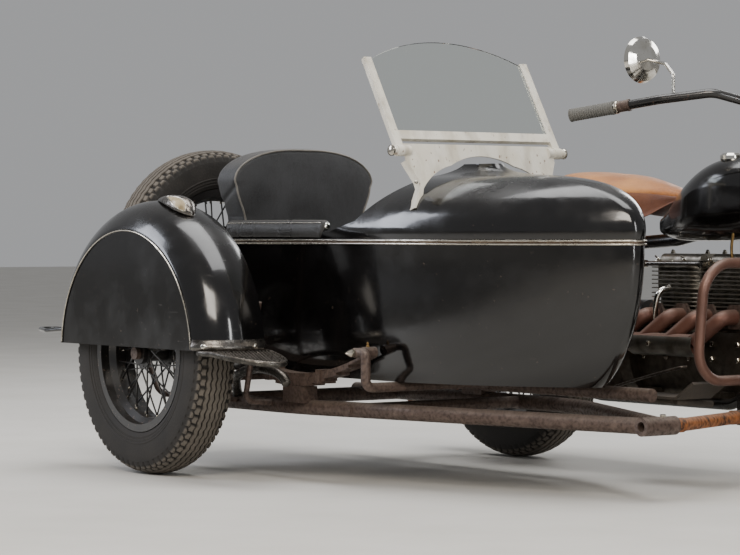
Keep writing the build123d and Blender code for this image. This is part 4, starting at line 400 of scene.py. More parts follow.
# %% Rubber
def rubber(name, base, dust, amount, worn=None):
    """Rubber = base, dusted by two sizes of cloud, paler where the road_dust attribute marks the crown."""
    look, tree, shader = finish(name, specular_ior_level=0.3)
    broad = add(tree, "MapRange", {"Value": clouds(tree, 70, 0.3, 0.75, detail=9.0), "To Min": 0.35})
    fine = clouds(tree, 5, 0.4, 0.7, detail=6.0)
    speckle = add(tree, "MapRange", {"Value": fine, "To Min": 0.6})
    share = add(tree, "Math", {0: broad, 1: speckle}, **PRODUCT)
    dusted = add(tree, "Math", {0: share, 1: amount}, **PRODUCT)
    tone = add(tree, "Mix", {0: dusted, 6: colour(base), 7: colour(dust)}, 2, **TINT)
    if worn:
        crown = add(tree, "Attribute", output="Fac", attribute_name="road_dust")
        uneven = add(tree, "MapRange", {"Value": share, "To Min": 0.5})
        paler = add(tree, "Math", {0: crown, 1: uneven}, **PRODUCT)
        tone = add(tree, "Mix", {0: paler, 6: tone, 7: colour(worn)}, 2, **TINT)
    grain = add(tree, "Bump", {"Height": fine, "Distance": 0.0002, "Strength": 1.0})
    wear(tree, shader, tone, add(tree, "MapRange", {"Value": share, "To Min": 0.62, "To Max": 0.9}), grain)
    return look


# Tyres: black, grey-brown in the grooves, paler on the crown
tyre_rubber = rubber("dusty_tyre_rubber", "#151413", "#4a4642", 0.55, "#6b645b")
# Handle grips, an old rubber gone grey
grip_rubber = rubber("grey_grip_rubber", "#565654", "#8b867c", 0.4)
# Mats of the footboards, trodden brown
board_rubber = rubber("worn_board_rubber", "#2b2826", "#7b6f62", 0.5)

# %% [markdown]
# Leather shows a grain of small cells, finer creases that cross them and a colour that is darker in
# the creases. Cell noise gives the grain, and cloudy noise worn patches. The seat is a dark grey hide
# and the saddle an orange tan one that has gone dark at its skirt.

# %% Leathers
def leather(name, base, crease, worn, rough, cell=2.6):
    """Hide = base, worn in clouds, dark along the lines between its cells."""
    look, tree, shader = finish(name, sheen_weight=0.08, specular_ior_level=0.4)
    where = add(tree, "TexCoord", output="Object")
    speckle = add(tree, "TexNoise", {"Vector": where, "Scale": 180.0, "Detail": 3.0})
    cells = {"Vector": where, "Scale": 1000 / cell}
    lines = add(tree, "TexVoronoi", cells, "Distance", feature="DISTANCE_TO_EDGE")
    lines = add(tree, "MapRange", {"Value": lines, "From Max": 0.22})
    folds = clouds(tree, 14, 0.35, 0.7, (1, 1, 0.5), 8.0)
    patches = clouds(tree, 95, 0.4, 0.72, detail=7.0)
    rubbed = add(tree, "Math", {0: patches, 1: 0.55}, **PRODUCT)
    dusty = add(tree, "Math", {0: facing_up(tree, 0.6, 1.0), 1: 0.2}, **PRODUCT)
    dusty = add(tree, "Math", {0: dusty, 1: speckle}, **PRODUCT)
    tone = add(tree, "Mix", {0: lines, 6: colour(crease), 7: colour(base)}, 2, **TINT)
    tone = add(tree, "Mix", {0: rubbed, 6: tone, 7: colour(worn)}, 2, **TINT)
    tone = add(tree, "Mix", {0: dusty, 6: tone, 7: colour("#9a9083")}, 2, **TINT)
    grain = add(tree, "Math", {0: lines, 1: 0.5}, **PRODUCT)
    grain = add(tree, "Math", {0: grain, 1: add(tree, "Math", {0: folds, 1: 0.5}, **PRODUCT)}, **SUM)
    skin = add(tree, "Bump", {"Height": grain, "Distance": 0.0006, "Strength": 1.0})
    matt = add(tree, "MapRange", {"Value": patches, "To Min": rough[0], "To Max": rough[1]})
    wear(tree, shader, tone, matt, skin)
    return look


# Seat back and squab: a dark grey hide
dark_leather = leather("dark_grey_leather", "#2b2c2e", "#18191a", "#414245", (0.4, 0.58))
# The saddle's pad: orange tan, polished by use
tan_leather = leather("tan_saddle_leather", "#b4702f", "#80491d", "#cf9150", (0.3, 0.48), 3.2)
# The saddle's skirt: the same hide, darker and drier
skirt_leather = leather("dark_skirt_leather", "#6b3a20", "#482512", "#8a5632", (0.4, 0.6), 3.2)
# Padded rail: black leathercloth with a slight shine
rail_vinyl = leather("black_rail_vinyl", "#141312", "#0b0a0a", "#2b2927", (0.22, 0.4), 3.0)
# Piped seams of the seat: pale grey and rubbed
piping = leather("pale_piping", "#77736c", "#4c4944", "#94908a", (0.45, 0.6), 2.0)

# %% [markdown]
# Glass lets light through and bends it a little. The windscreen is clear, and the lamp glass is
# pressed with ribs, so its bump is a wave across the lens. Brass, nickel and polished silvering finish
# the list: soft metals that hands and cloths have left clouded.

# %% Glass, brass and nickel
def clear_glass(name, tint, rough, ribs=0.0):
    """Glass of one tint; in a pressed lens ribs of eight millimetres, sin(785 y), scatter the light."""
    look, tree, shader = finish(name, transmission_weight=1.0, ior=1.45, roughness=rough)
    shader.inputs["Base Color"].default_value = colour(tint)
    if ribs:
        across = add(tree, "SeparateXYZ", {0: add(tree, "TexCoord", output="Object")}, 1)
        turn = add(tree, "Math", {0: across, 1: 785.0}, operation="MULTIPLY")
        rib = add(tree, "Math", {0: turn}, operation="SINE")
        pressed = add(tree, "Bump", {"Height": rib, "Distance": ribs, "Strength": 1.0})
        tree.links.new(pressed, shader.inputs["Normal"])
    return look


def plain_metal(name, base, smear, rough):
    """A soft bright metal with clouded handling marks."""
    look, tree, shader = finish(name, metallic=1.0)
    marks = clouds(tree, 18, 0.4, 0.7, detail=8.0)
    tone = add(tree, "Mix", {0: marks, 6: colour(base), 7: colour(smear)}, 2, **TINT)
    wear(tree, shader, tone, add(tree, "MapRange", {"Value": marks, "To Min": rough[0], "To Max": rough[1]}))
    return look


# Windscreen, clear with a faint green cast
screen_glass = clear_glass("clear_screen_glass", "#f2f6f2", 0.02)
# Headlamp lens, ribs 0.6 mm deep
lamp_glass = clear_glass("ribbed_lamp_glass", "#f4f4ee", 0.05, 0.0006)
# Fuel pipe and grease nipples
brass = plain_metal("worn_brass", "#a98b5a", "#6d5436", (0.3, 0.5))
# Nuts, screws, beads and collars
nickel = plain_metal("worn_nickel", "#c6c0b4", "#948c7e", (0.15, 0.35))
# Mirror and reflector
silvering = plain_metal("mirror_silvering", "#e2e4e4", "#cfd2d2", (0.02, 0.06))

# %% [markdown]
# The finishes go onto the solids by name. A solid comes in as loose triangles, so one small geometry
# modifier welds them and shades every edge flatter than thirty degrees smoothly. The mesh itself is
# left as it came.

# %% Dress the solids
WEARS = {
    body_enamel: ["sidecar_tub", "sidecar_cowl", "rear_deck", "sidecar_fender", "front_fender", "rear_fender",
                  "fuel_tank", "headlamp"],
    frame_enamel: ["spare_carrier", "motorcycle_frame", "plunger_springs", "fork", "front_spring",
                   "generator", "handlebar"],
    wheel_enamel: ["rear_wheel", "front_wheel", "sidecar_wheel", "spare_wheel"],
    tyre_rubber: ["rear_tyre", "front_tyre", "sidecar_tyre", "spare_tyre"],
    chrome: ["belt_moulding", "tank_caps", "marker_lamp", "tail_lamp", "mirror"],
    step_steel: ["fender_step"],
    cream: ["windscreen_frame", "windscreen_bracket"],
    screen_glass: ["windscreen_glass"],
    lamp_glass: ["headlamp_lens"],
    chassis_rust: ["leaf_springs", "body_brackets", "sidecar_chassis"],
    bar_brown: ["crash_bar"],
    link_rust: ["chassis_links"],
    alloy: ["cylinder_blocks", "cylinder_heads", "intake"],
    case_alloy: ["crankcase"],
    pipe_heat: ["exhaust"],
    shield_skin: ["heat_shield"],
    oily_steel: ["kick_starter", "drive_chain"],
    dark_leather: ["seat_cushion", "seat_back"],
    rail_vinyl: ["cockpit_rail"],
    tan_leather: ["saddle"],
    board_rubber: ["footboards"],
    grip_rubber: ["grips"],
}


def soft_shading():
    """Welds loose triangles, then keeps only edges sharper than thirty degrees crisp."""
    tree = bpy.data.node_groups.new("weld_and_smooth", "GeometryNodeTree")
    tree.is_modifier = True
    tree.interface.new_socket("Geometry", in_out="INPUT", socket_type="NodeSocketGeometry")
    tree.interface.new_socket("Geometry", in_out="OUTPUT", socket_type="NodeSocketGeometry")
    start = tree.nodes.new("NodeGroupInput")
    weld = tree.nodes.new("GeometryNodeMergeByDistance")
    weld.inputs["Distance"].default_value = 1e-6
    faces = tree.nodes.new("GeometryNodeSetShadeSmooth")
    edges = tree.nodes.new("GeometryNodeSetShadeSmooth")
    edges.domain = "EDGE"
    angle = tree.nodes.new("GeometryNodeInputMeshEdgeAngle")
    flatter = tree.nodes.new("FunctionNodeCompare")
    flatter.operation = "LESS_THAN"
    flatter.inputs[1].default_value = float(np.radians(30))
    end = tree.nodes.new("NodeGroupOutput")
    tree.links.new(start.outputs[0], weld.inputs[0])
    tree.links.new(weld.outputs[0], faces.inputs[0])
    tree.links.new(faces.outputs[0], edges.inputs[0])
    tree.links.new(angle.outputs[0], flatter.inputs[0])
    tree.links.new(flatter.outputs[0], edges.inputs["Shade Smooth"])
    tree.links.new(edges.outputs[0], end.inputs[0])
    return tree


smoothing = soft_shading()
for look, names in WEARS.items():
    for name in names:
        nodes[name].data.materials.clear()
        nodes[name].data.materials.append(look)
        nodes[name].modifiers.new("Smooth", "NODES").node_group = smoothing
print(sum(len(names) for names in WEARS.values()), "solids dressed")

# %% [markdown]
# ## Camera, floor and light
# The photograph was taken from the machine's front right, from far away and low down, so the camera
# has a long lens and its horizon lies almost level. Large soft lamps stand where the long highlights
# on black enamel need them: black shows nothing but what it mirrors.

# %% Camera, floor and light
EYE = place([6332, -5248, 678])
VIEW_TURN, VIEW_DIP = np.radians(53.48), np.radians(0.97)
FOCAL_LENGTH = 132.36
SIGHT = [-np.sin(VIEW_TURN) * np.cos(VIEW_DIP), np.cos(VIEW_TURN) * np.cos(VIEW_DIP), -np.sin(VIEW_DIP)]


def set_camera():
    """A camera at the photographer's place whose lens spans the photograph's width."""
    lens = bpy.data.cameras.new("camera")
    lens.sensor_fit = "HORIZONTAL"
    lens.sensor_width = 36.0
    lens.lens = FOCAL_LENGTH
    camera = bpy.data.objects.new("camera", lens)
    bpy.context.scene.collection.objects.link(camera)
    camera.location = EYE
    camera.rotation_euler = Vector(SIGHT).to_track_quat("-Z", "Y").to_euler()
    bpy.context.scene.camera = camera


def softbox(name, centre, target, width, depth, power, tint="#ffffff"):
    """A square lamp that looks at a target."""
    lamp = bpy.data.lights.new(name, "AREA")
    lamp.shape = "RECTANGLE"
    lamp.size, lamp.size_y = width, depth
    lamp.energy = power
    lamp.color = colour(tint)[:3]
    holder = bpy.data.objects.new(name, lamp)
    bpy.context.scene.collection.objects.link(holder)
    holder.location = centre
    aim = Vector(target) - Vector(centre)
    holder.rotation_euler = aim.to_track_quat("-Z", "Y").to_euler()


def floor_and_air():
    """A wide pale floor, and a pale even sky that fills the shadows."""
    ground = bpy.data.meshes.new("floor")
    ground.from_pydata([(-40, -40, 0), (40, -40, 0), (40, 40, 0), (-40, 40, 0)], [], [(0, 1, 2, 3)])
    floor = bpy.data.objects.new("floor", ground)
    bpy.context.scene.collection.objects.link(floor)
    look, tree, shader = finish("pale_floor", specular_ior_level=0.2)
    speckle = clouds(tree, 400, 0.3, 0.7)
    tone = add(tree, "Mix", {0: speckle, 6: colour("#cfccc6"), 7: colour("#c6c3bc")}, 2, **TINT)
    wear(tree, shader, tone, add(tree, "MapRange", {"Value": speckle, "To Min": 0.6, "To Max": 0.7}))
    ground.materials.append(look)
    world = bpy.data.worlds.new("studio")
    world.use_nodes = True
    world.node_tree.nodes["Background"].inputs[0].default_value = colour("#dfe0e2")
    world.node_tree.nodes["Background"].inputs[1].default_value = 0.5
    bpy.context.scene.world = world


set_camera()
floor_and_air()
softbox("key", (4.5, -5.5, 5.0), (0, -0.2, 0.5), 3.0, 3.0, 420, "#fff6ea")
softbox("side", (-4.5, -4.5, 3.2), (-0.2, 0, 0.5), 2.0, 3.5, 220, "#eef3ff")
softbox("top", (0, 0, 5.5), (0, 0, 0.4), 4.5, 3.0, 260)
softbox("back", (-1.5, 6.0, 3.5), (0, 0, 0.6), 5.0, 2.0, 260)
softbox("strip", (5.2, -1.0, 1.6), (0.5, -0.2, 0.6), 0.35, 2.6, 60)
print("camera", [round(v, 3) for v in EYE], "lens", FOCAL_LENGTH, "mm")

# %% [markdown]
# ## Tyres
# An old road tyre has five ribs with saw-toothed grooves and a row of notches at each shoulder. The
# surface is a grid that goes round the wheel and across the tyre: the lines that bound each groove
# swing from side to side as they go round, and the shoulder rows sink once in every tooth. Following
# the groove with the grid's own lines keeps its edges sharp with few faces.

# %% Treaded tyres
WHEEL_RADIUS, TEETH, STEPS = 338.0, 72, 6
# Half a tyre from its middle out: place across, radius (0 = on the crown), sink, swing, notch
RIB_ROWS = np.array([
    (0, 0, 0, 0, 0), (5.4, 0, 0, 1, 0), (6.2, 0, 6, 1, 0), (9.8, 0, 6, 1, 0), (10.6, 0, 0, 1, 0),
    (15.6, 0, 0, 0, 0), (20.6, 0, 0, 1, 0), (21.4, 0, 6, 1, 0), (25, 0, 6, 1, 0), (25.8, 0, 0, 1, 0),
    (30, 0, 0, 0, 0), (34.6, 0, 0, 1, 0), (35.4, 0, 6, 1, 0), (38.6, 0, 6, 1, 0), (39.4, 0, 0, 1, 0.9),
    (45, 0, 0, 0, 1), (49, 0, 0, 1, 1), (49.8, 0, 5, 1, 0), (52.4, 0, 5, 1, 0), (53.2, 0, 0, 1, -1),
    (57.6, 0, 0, 0, -1), (60, 314, 0, 0, -1), (61.8, 306, 0, 0, -0.6), (62.8, 303, 0, 0, 0),
    (63.4, 300, 0, 0, 0), (64.2, 290, 0, 0, 0), (65, 274, 0, 0, 0), (64.8, 262, 0, 0, 0),
    (64.2, 254, 0, 0, 0), (65.2, 252, 0, 0, 0), (64.6, 249, 0, 0, 0), (62.4, 247, 0, 0, 0),
    (63, 243, 0, 0, 0), (62.2, 240, 0, 0, 0), (60, 238, 0, 0, 0), (60.2, 233, 0, 0, 0),
    (58.4, 230, 0, 0, 0), (55, 222.4, 0, 0, 0), (50.6, 219.6, 0, 0, 0), (48.4, 204, 0, 0, 0),
    (44, 203.6, 0, 0, 0),
])


def crown_radius(across):
    """Radius of the smooth tread = wheel radius - 14 (across / 52)^2.2."""
    return WHEEL_RADIUS - 14 * (np.abs(across) / 52) ** 2.2


def treaded_tyre():
    """Radius = crown, less grooves and notches; across swings from side to side with each tooth."""
    half = RIB_ROWS.copy()
    mirror = half[::-1].copy()
    mirror[:, 0] *= -1
    rows = np.concatenate([mirror[:-1], half])
    across, radius, sink, swing, notch = rows.T[..., None]
    crown = crown_radius(across)
    radius = np.where(radius > 0, radius, crown) - sink
    step = np.arange(TEETH * STEPS)
    phase = (step % STEPS) / STEPS
    tooth = np.abs(2 * phase - 1) * 2 - 1
    in_notch = ((phase > 0.4) & (phase < 0.75)).astype(float)
    later = np.roll(in_notch, STEPS // 2)
    radius = radius - 6.5 * np.where((notch > 0) == (across > 0), in_notch, later) * np.abs(notch)
    across = across + 2.1 * swing * tooth
    angle = step * 2 * np.pi / (TEETH * STEPS)
    x, z = radius * np.cos(angle), radius * np.sin(angle)
    points = np.stack([x, across + 0 * x, z], -1).reshape(-1, 3)
    return points, grid_faces(len(rows), len(step), wrap_rows=True)


def tyre_at(name, centre, body, across_body):
    """The tyre with its axle along the second axis, or along the first for the one on the tail."""
    points, faces = treaded_tyre()
    if across_body:
        points = points[:, [1, 0, 2]] * [1, -1, 1]
    piece = make(name, (place(points + centre), faces), body, tyre_rubber, 30)
    spread = np.empty(3 * len(piece.data.vertices), np.float32)
    piece.data.vertices.foreach_get("co", spread)
    spread = spread.reshape(-1, 3) - place(centre)
    turning = [1, 2] if across_body else [0, 2]
    from_axle = np.linalg.norm(spread[:, turning], axis=1) * 1000
    width = np.abs(spread[:, 0 if across_body else 1]) * 1000
    crown = crown_radius(width)
    dust = piece.data.attributes.new("road_dust", "FLOAT", "POINT")
    dust.data.foreach_set("value", np.clip(1 - (crown - from_axle) / 2.5, 0, 1).astype(np.float32))
    return piece


TYRES = [
    ("rear_treaded_tyre", (0, 0, 338), "rear_wheel", "rear_tyre"),
    ("front_treaded_tyre", (1550, 0, 338), "front_wheel", "front_tyre"),
    ("sidecar_treaded_tyre", (-150, -1200, 338), "sidecar_wheel", "sidecar_tyre"),
    ("spare_treaded_tyre", (-652, MIDDLE_Y, 588), "chassis", "spare_tyre"),
]
for name, centre, body, solid in TYRES:
    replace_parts(tyre_at(name, np.array(centre), body, solid == "spare_tyre"), solid)

# %% [markdown]
# ## Spoke nipples
# Each spoke ends in a small tapered nut at the rim. The nuts are one turned shape, copied to every
# spoke's end and turned to its direction, so forty spokes on each of four wheels cost no more code
# than one.

# %% Spoke nipples
NIPPLE = turned([(0, -2), (2.6, -2), (3.4, 0), (3.2, 9), (2.5, 11), (0, 11)], 8)


def spoke_ends():
    """Hub and rim ends of every spoke: even ones lean forward, odd ones back, on both sides of the hub."""
    index = np.arange(20)
    lean = np.where(index % 2 == 0, 1.0, -1.0)
    starts, ends = [], []
    for side in (1, -1):
        at_hub = np.radians(18 * index + (9 if side < 0 else 0))
        at_rim = at_hub + np.radians(54) * lean
        high = side * (34 + 2.5 + 2 * lean)
        starts.append(np.stack([36 * np.cos(at_hub), high, 36 * np.sin(at_hub)], -1))
        ends.append(np.stack([186 * np.cos(at_rim), 0 * index + side * 6.0, 186 * np.sin(at_rim)], -1))
    return np.concatenate(starts), np.concatenate(ends)


def nipples(name, centre, body, across_body):
    """A nipple on the last ten millimetres of each spoke."""
    starts, ends = spoke_ends()
    starts, ends = starts * [1, 1, -1], ends * [1, 1, -1]
    if across_body:
        starts, ends = starts[:, [1, 0, 2]] * [-1, 1, 1], ends[:, [1, 0, 2]] * [-1, 1, 1]
    inward = unit(starts - ends)
    points, faces = copies(NIPPLE, ends + centre, inward)
    make(name, (place(points), faces), body, nickel)


for name, centre, body, solid in TYRES:
    nipples(name.replace("treaded_tyre", "spoke_nipples"), np.array(centre), body, solid == "spare_tyre")

# %% [markdown]
# ## Stuffed leather
# A squab is a leather bag packed until its panels swell between the seams. Each bag starts as a closed
# form a little too small. A voxel remesh makes its mesh even, and Blender's cloth blows it up without
# gravity. Points on a seam are pinned, as the thread holds them, and no point may move further than a
# cap, so the stuffing never reaches a neighbour. Modelling the folds by hand would take far longer and
# look stiffer.

# %% Stuffing
def bag(outline, centre, rings, order):
    """Point = centre + scale (outline - centre), each ring of the bag at its own depth."""
    scale, depth = np.asarray(rings, float).T
    flat = np.asarray(centre) + scale[:, None, None] * (np.asarray(outline, float) - centre)
    deep = np.broadcast_to(depth[:, None, None], (*flat.shape[:2], 1))
    return np.concatenate([flat, deep], -1)[..., order].reshape(-1, 3), grid_faces(len(rings), len(outline))


def bag_in_row(outline, centre, rings, order):
    """The bag in the part's own metres."""
    points, faces = bag(outline, np.array(centre, float), rings, order)
    return place(points), faces


def corners_of(mesh):
    """All points of a mesh in workshop millimetres."""
    flat = np.empty(3 * len(mesh.vertices), np.float32)
    mesh.vertices.foreach_get("co", flat)
    return flat.reshape(-1, 3) * 1000.0 + SHIFT


def set_corners(mesh, points):
    """Writes workshop millimetres back into a mesh."""
    mesh.vertices.foreach_set("co", place(points).astype(np.float32).ravel())
    mesh.update()


def bake(piece):
    """The shape that a piece's modifiers give becomes its own mesh."""
    graph = bpy.context.evaluated_depsgraph_get()
    solid = bpy.data.meshes.new_from_object(piece.evaluated_get(graph))
    piece.modifiers.clear()
    piece.data = solid


def nearness(points, path, width):
    """exp(-(d / width)^2), with d the way from a point to the nearest point of the path."""
    path = np.asarray(path, float)
    square = (points**2).sum(1)[:, None] + (path**2).sum(1)[None] - 2 * points @ path.T
    return np.exp(-np.maximum(square.min(1), 0) / width**2)


def swell(piece, voxel, pressure, cap, seams):
    """Twenty frames of cloth under pressure; way = cap tanh(way / cap), and the seams stay put."""
    even = piece.modifiers.new("Even", "REMESH")
    even.mode = "VOXEL"
    even.voxel_size = voxel / 1000
    even.use_smooth_shade = True
    bake(piece)
    start = corners_of(piece.data)
    held = np.max([nearness(start, seam, voxel) for seam in seams], axis=0)
    pins = piece.vertex_groups.new(name="seams")
    pins.add(np.flatnonzero(held > 0.4).tolist(), 1.0, "REPLACE")
    cloth = piece.modifiers.new("Cloth", "CLOTH")
    cloth.settings.vertex_group_mass = "seams"
    cloth.settings.use_pressure = True
    cloth.settings.uniform_pressure_force = pressure
    cloth.settings.effector_weights.gravity = 0
    for moment in range(1, 21):
        bpy.context.scene.frame_set(moment)
    graph = bpy.context.evaluated_depsgraph_get()
    blown = corners_of(piece.evaluated_get(graph).data)
    piece.modifiers.clear()
    piece.vertex_groups.clear()
    bpy.context.scene.frame_set(1)
    way = blown - start
    far = np.maximum(np.linalg.norm(way, axis=1, keepdims=True), 1e-6)
    set_corners(piece.data, start + way * cap * np.tanh(far / cap) / far)
    print(piece.name, "swelled by up to", round(float(np.min([far.max(), cap])), 1), "mm")


def press(piece, seam, depth, width):
    """Draws the skin in by depth exp(-(d / width)^2) along its normals, as a sewn thread does."""
    normals = np.empty(3 * len(piece.data.vertices), np.float32)
    piece.data.vertices.foreach_get("normal", normals)
    points = corners_of(piece.data)
    share = nearness(points, seam, width)[:, None]
    set_corners(piece.data, points - depth * share * normals.reshape(-1, 3))


def laid_on(piece, path, lift):
    """Each path point moves to the piece's nearest skin and stands off it by the lift."""
    skin = BVHTree.FromObject(piece, bpy.context.evaluated_depsgraph_get())
    hits = [skin.find_nearest(Vector(point)) for point in place(path)]
    points = np.array([hit[0] + hit[1] * lift / 1000 for hit in hits]) * 1000 + SHIFT
    points[1:-1] = (points[:-2] + 2 * points[1:-1] + points[2:]) / 4
    return points


def stuffed(piece):
    """One subdivision rounds the voxels off."""
    finer = piece.modifiers.new("Finer", "SUBSURF")
    finer.levels = finer.render_levels = 1


def welt(name, piece, path, radius, look):
    """A piped seam: a thin leather roll that follows a path over the stuffed skin."""
    path = laid_on(piece, path, 0.3 * radius)
    points, faces = tube(path, radius, 10, (0.31, 0.2, 0.93))
    return make(name, (place(points), faces), "chassis", look)


# %% [markdown]
# The seat back is a tall panel with broad shoulders that draws in below them, edged with pale piping.
# Behind the piping a gusset as deep as a hand bulges to the side, creased where the shoulder roll is
# sewn to the lower part. Its outline was measured on the photograph in the plane of the front panel.

# %% Seat back
# Across and height of the panel's edge: over the shoulder, then down to the seat
SHOULDER = np.array([(0, 917), (59, 916), (116, 910), (168, 897), (208, 878), (236, 853), (248, 826)], float)
FLANK = np.array([(248, 826), (233, 776), (212, 722), (203, 650), (201, 580), (200, 517)], float)


def panel_outline():
    """The right half from the crown down, mirrored for the left, closed along the bottom."""
    right = np.concatenate([smooth_path(SHOULDER, 7)[:-1], smooth_path(FLANK, 7)])
    bottom = np.stack([np.linspace(200, -200, 22)[1:-1], np.full(20, 517.0)], -1)
    left = right[:0:-1] * [-1, 1]
    return np.concatenate([right, bottom, left]) + [MIDDLE_Y, 0]


def on_plane(flat, x):
    """Points of a flat outline set up at one distance along the machine."""
    return np.concatenate([np.full((len(flat), 1), float(x)), flat], 1)


def seat_back():
    """The bag, its pressed seams and its piping."""
    outline = panel_outline()
    rings = [(0, -155), (0.45, -155), (0.8, -155), (0.95, -156), (0.99, -158), (1, -163), (1, -185),
             (1, -215), (1, -240), (0.985, -253), (0.95, -257), (0.7, -258), (0.3, -258), (0, -258)]
    shape = bag_in_row(outline, (MIDDLE_Y, 720), rings, [2, 0, 1])
    piece = make("seat_back_bag", shape, "chassis", dark_leather)
    front = on_plane(outline, -157)
    rear = on_plane(outline, -255)
    creases = []
    for side in (-1, 1):
        high, low = (-160, MIDDLE_Y + side * 246, 806), (-256, MIDDLE_Y + side * 244, 752)
        creases.append(np.linspace(high, low, 40))
    swell(piece, 6, 5, 11, [front, rear, *creases])
    for crease in creases:
        press(piece, laid_on(piece, crease, 0), 5, 7)
    press(piece, laid_on(piece, front, 0), 1.5, 6)
    stuffed(piece)
    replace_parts(piece, "seat_back")
    edge = np.roll(front, len(front) // 2, axis=0)
    edge = edge[edge[:, 2] > 560]
    gap = np.argmax(np.linalg.norm(np.diff(edge, axis=0), axis=1)) + 1
    edge = np.roll(edge, -gap, axis=0)
    welt("seat_back_piping", piece, edge, 3.0, piping)


seat_back()

# %% [markdown]
# The seat squab lies on a box in the hull, out of sight in the photograph. It is made the same way: a
# low bag with a crowned top, a piped upper edge and a plain boxing strip all round.

# %% Seat squab
def rounded_plan(x_from, x_to, half, radius):
    """Corner points = corner centre + radius (cos a, sin a), a quarter turn at each of four corners."""
    turn = np.linspace(0, np.pi / 2, 12)
    centres = [(x_to - radius, half - radius), (x_from + radius, half - radius),
               (x_from + radius, radius - half), (x_to - radius, radius - half)]
    arcs = []
    for i, centre in enumerate(centres):
        angle = turn + i * np.pi / 2
        arcs.append(np.array(centre) + radius * np.stack([np.cos(angle), np.sin(angle)], -1))
    return np.concatenate(arcs) + [0, MIDDLE_Y]


def seat_squab():
    """The bag of the squab with its piping."""
    outline = rounded_plan(-124, 324, 232, 46)
    rings = [(0, 402), (0.5, 402), (0.93, 402), (0.985, 405), (1, 413), (1, 440), (1, 470), (1, 492),
             (0.985, 500), (0.94, 503), (0.6, 505), (0, 506)]
    shape = bag_in_row(outline, (100, MIDDLE_Y), rings, [0, 1, 2])
    piece = make("seat_squab_bag", shape, "chassis", dark_leather)
    seam = np.concatenate([outline, np.full((len(outline), 1), 498.0)], 1)
    swell(piece, 7, 4, 9, [seam, seam - [0, 0, 92]])
    press(piece, laid_on(piece, seam, 0), 1.5, 6)
    stuffed(piece)
    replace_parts(piece, "seat_cushion")
    welt("seat_squab_piping", piece, np.concatenate([seam, seam[:1]]), 3.2, piping)


seat_squab()

# %% [markdown]
# The saddle is a tan pad sewn to a darker skirt. The pad's cross-sections are flat arches that get
# narrower and lower towards the nose. The skirt is a single hide that hangs from the seam, dips under
# the rider's thighs and curls outwards along its lower edge.

# %% Saddle
# Place along the machine, half width, seam height, top
PAD_ROWS = np.array([
    (226, 34, 776, 802), (234, 82, 775, 824), (256, 124, 774, 838), (310, 163, 774, 844),
    (375, 175, 776, 844), (440, 170, 779, 839), (500, 142, 782, 835), (560, 106, 783, 829),
    (650, 59, 779, 813), (706, 40, 775, 798), (732, 24, 773, 788),
], float)
# Place along the machine, half width of the skirt, its lower edge
SKIRT_ROWS = np.array([
    (230, 78, 764), (246, 118, 758), (310, 168, 744), (375, 181, 730), (440, 176, 723),
    (500, 148, 722), (560, 112, 719), (610, 86, 714), (650, 66, 724), (706, 46, 752),
    (734, 26, 766), (741, 0, 768),
], float)


def pad_shape():
    """y = half cos a; z = seam + rise sin(a)^0.7 above the seam and 14 sin(a)^0.5 below it."""
    rows = smooth_path(PAD_ROWS, 6)
    rows = np.concatenate([rows[:1] * [1, 0, 1, 1], rows, rows[-1:] * [1, 0, 1, 1]])
    x, half, seam, top = rows.T[..., None]
    angle = np.arange(64) * 2 * np.pi / 64
    up = np.sin(angle)
    lift = np.where(up > 0, (top - seam) * np.abs(up) ** 0.7, -14 * np.abs(up) ** 0.5)
    lift = lift * (half > 0)
    points = np.stack([x + 0 * angle, half * np.cos(angle), seam + lift], -1)
    return place(points.reshape(-1, 3)), grid_faces(len(rows), 64)


def skirt_shape():
    """A hide 3.5 thick: point = edge line + out across it + fall, where the fall runs down to the hem."""
    side = smooth_path(SKIRT_ROWS, 6)
    path = np.concatenate([side * [1, -1, 1], side[-2::-1]])
    seam = np.interp(path[:, 0], PAD_ROWS[:, 0], PAD_ROWS[:, 2]) + 1
    level = np.stack([path[:, 0], path[:, 1], seam], -1)
    along = unit(np.gradient(level, axis=0) * [1, 1, 0])
    out = np.cross(along, [0, 0, 1])
    # Share of the fall, then the way out from the edge line
    section = np.array([(-0.08, -2), (0.05, 1.6), (0.4, 2.6), (0.75, 1.4), (0.93, 2.4), (1, 5), (1.03, 3.5),
                        (0.97, -0.5), (0.75, -2.2), (0.4, -1), (0.1, -2.4)])
    fall = (seam - path[:, 2])[:, None]
    wave = 1.2 * np.sin(np.arange(len(path)) * 0.55)[:, None] * np.clip(section[:, 0], 0, 1)
    points = level[:, None] + (section[:, 1] + wave)[..., None] * out[:, None]
    points[..., 2] -= fall * section[:, 0]
    ends = points.mean(1, keepdims=True)[[0, -1]] + 0 * points[[0, -1]]
    points = np.concatenate([ends[:1], points, ends[1:]])
    return place(points.reshape(-1, 3)), grid_faces(len(points), len(section))


def saddle():
    """The swollen pad, and the skirt that hangs from its seam."""
    piece = make("saddle_pad", pad_shape(), "chassis", tan_leather)
    rows = smooth_path(PAD_ROWS, 6)
    seams = [rows[:, :3] * [1, side, 1] for side in (-1, 1)]
    swell(piece, 5, 5, 7, seams)
    for seam in seams:
        press(piece, seam, 2, 6)
    stuffed(piece)
    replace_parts(piece, "saddle")
    make("saddle_skirt", skirt_shape(), "chassis", skirt_leather, 60)


saddle()

# %% [markdown]
# The cockpit rail is a roll of black vinyl that sits on the hull's outer edge, for an arm to rest on.
# Its cover hangs down outside the hull as a stuffed flap. A bright welt runs along its upper outside,
# and a round stud closes the front end. The section is drawn once and carried along the edge.

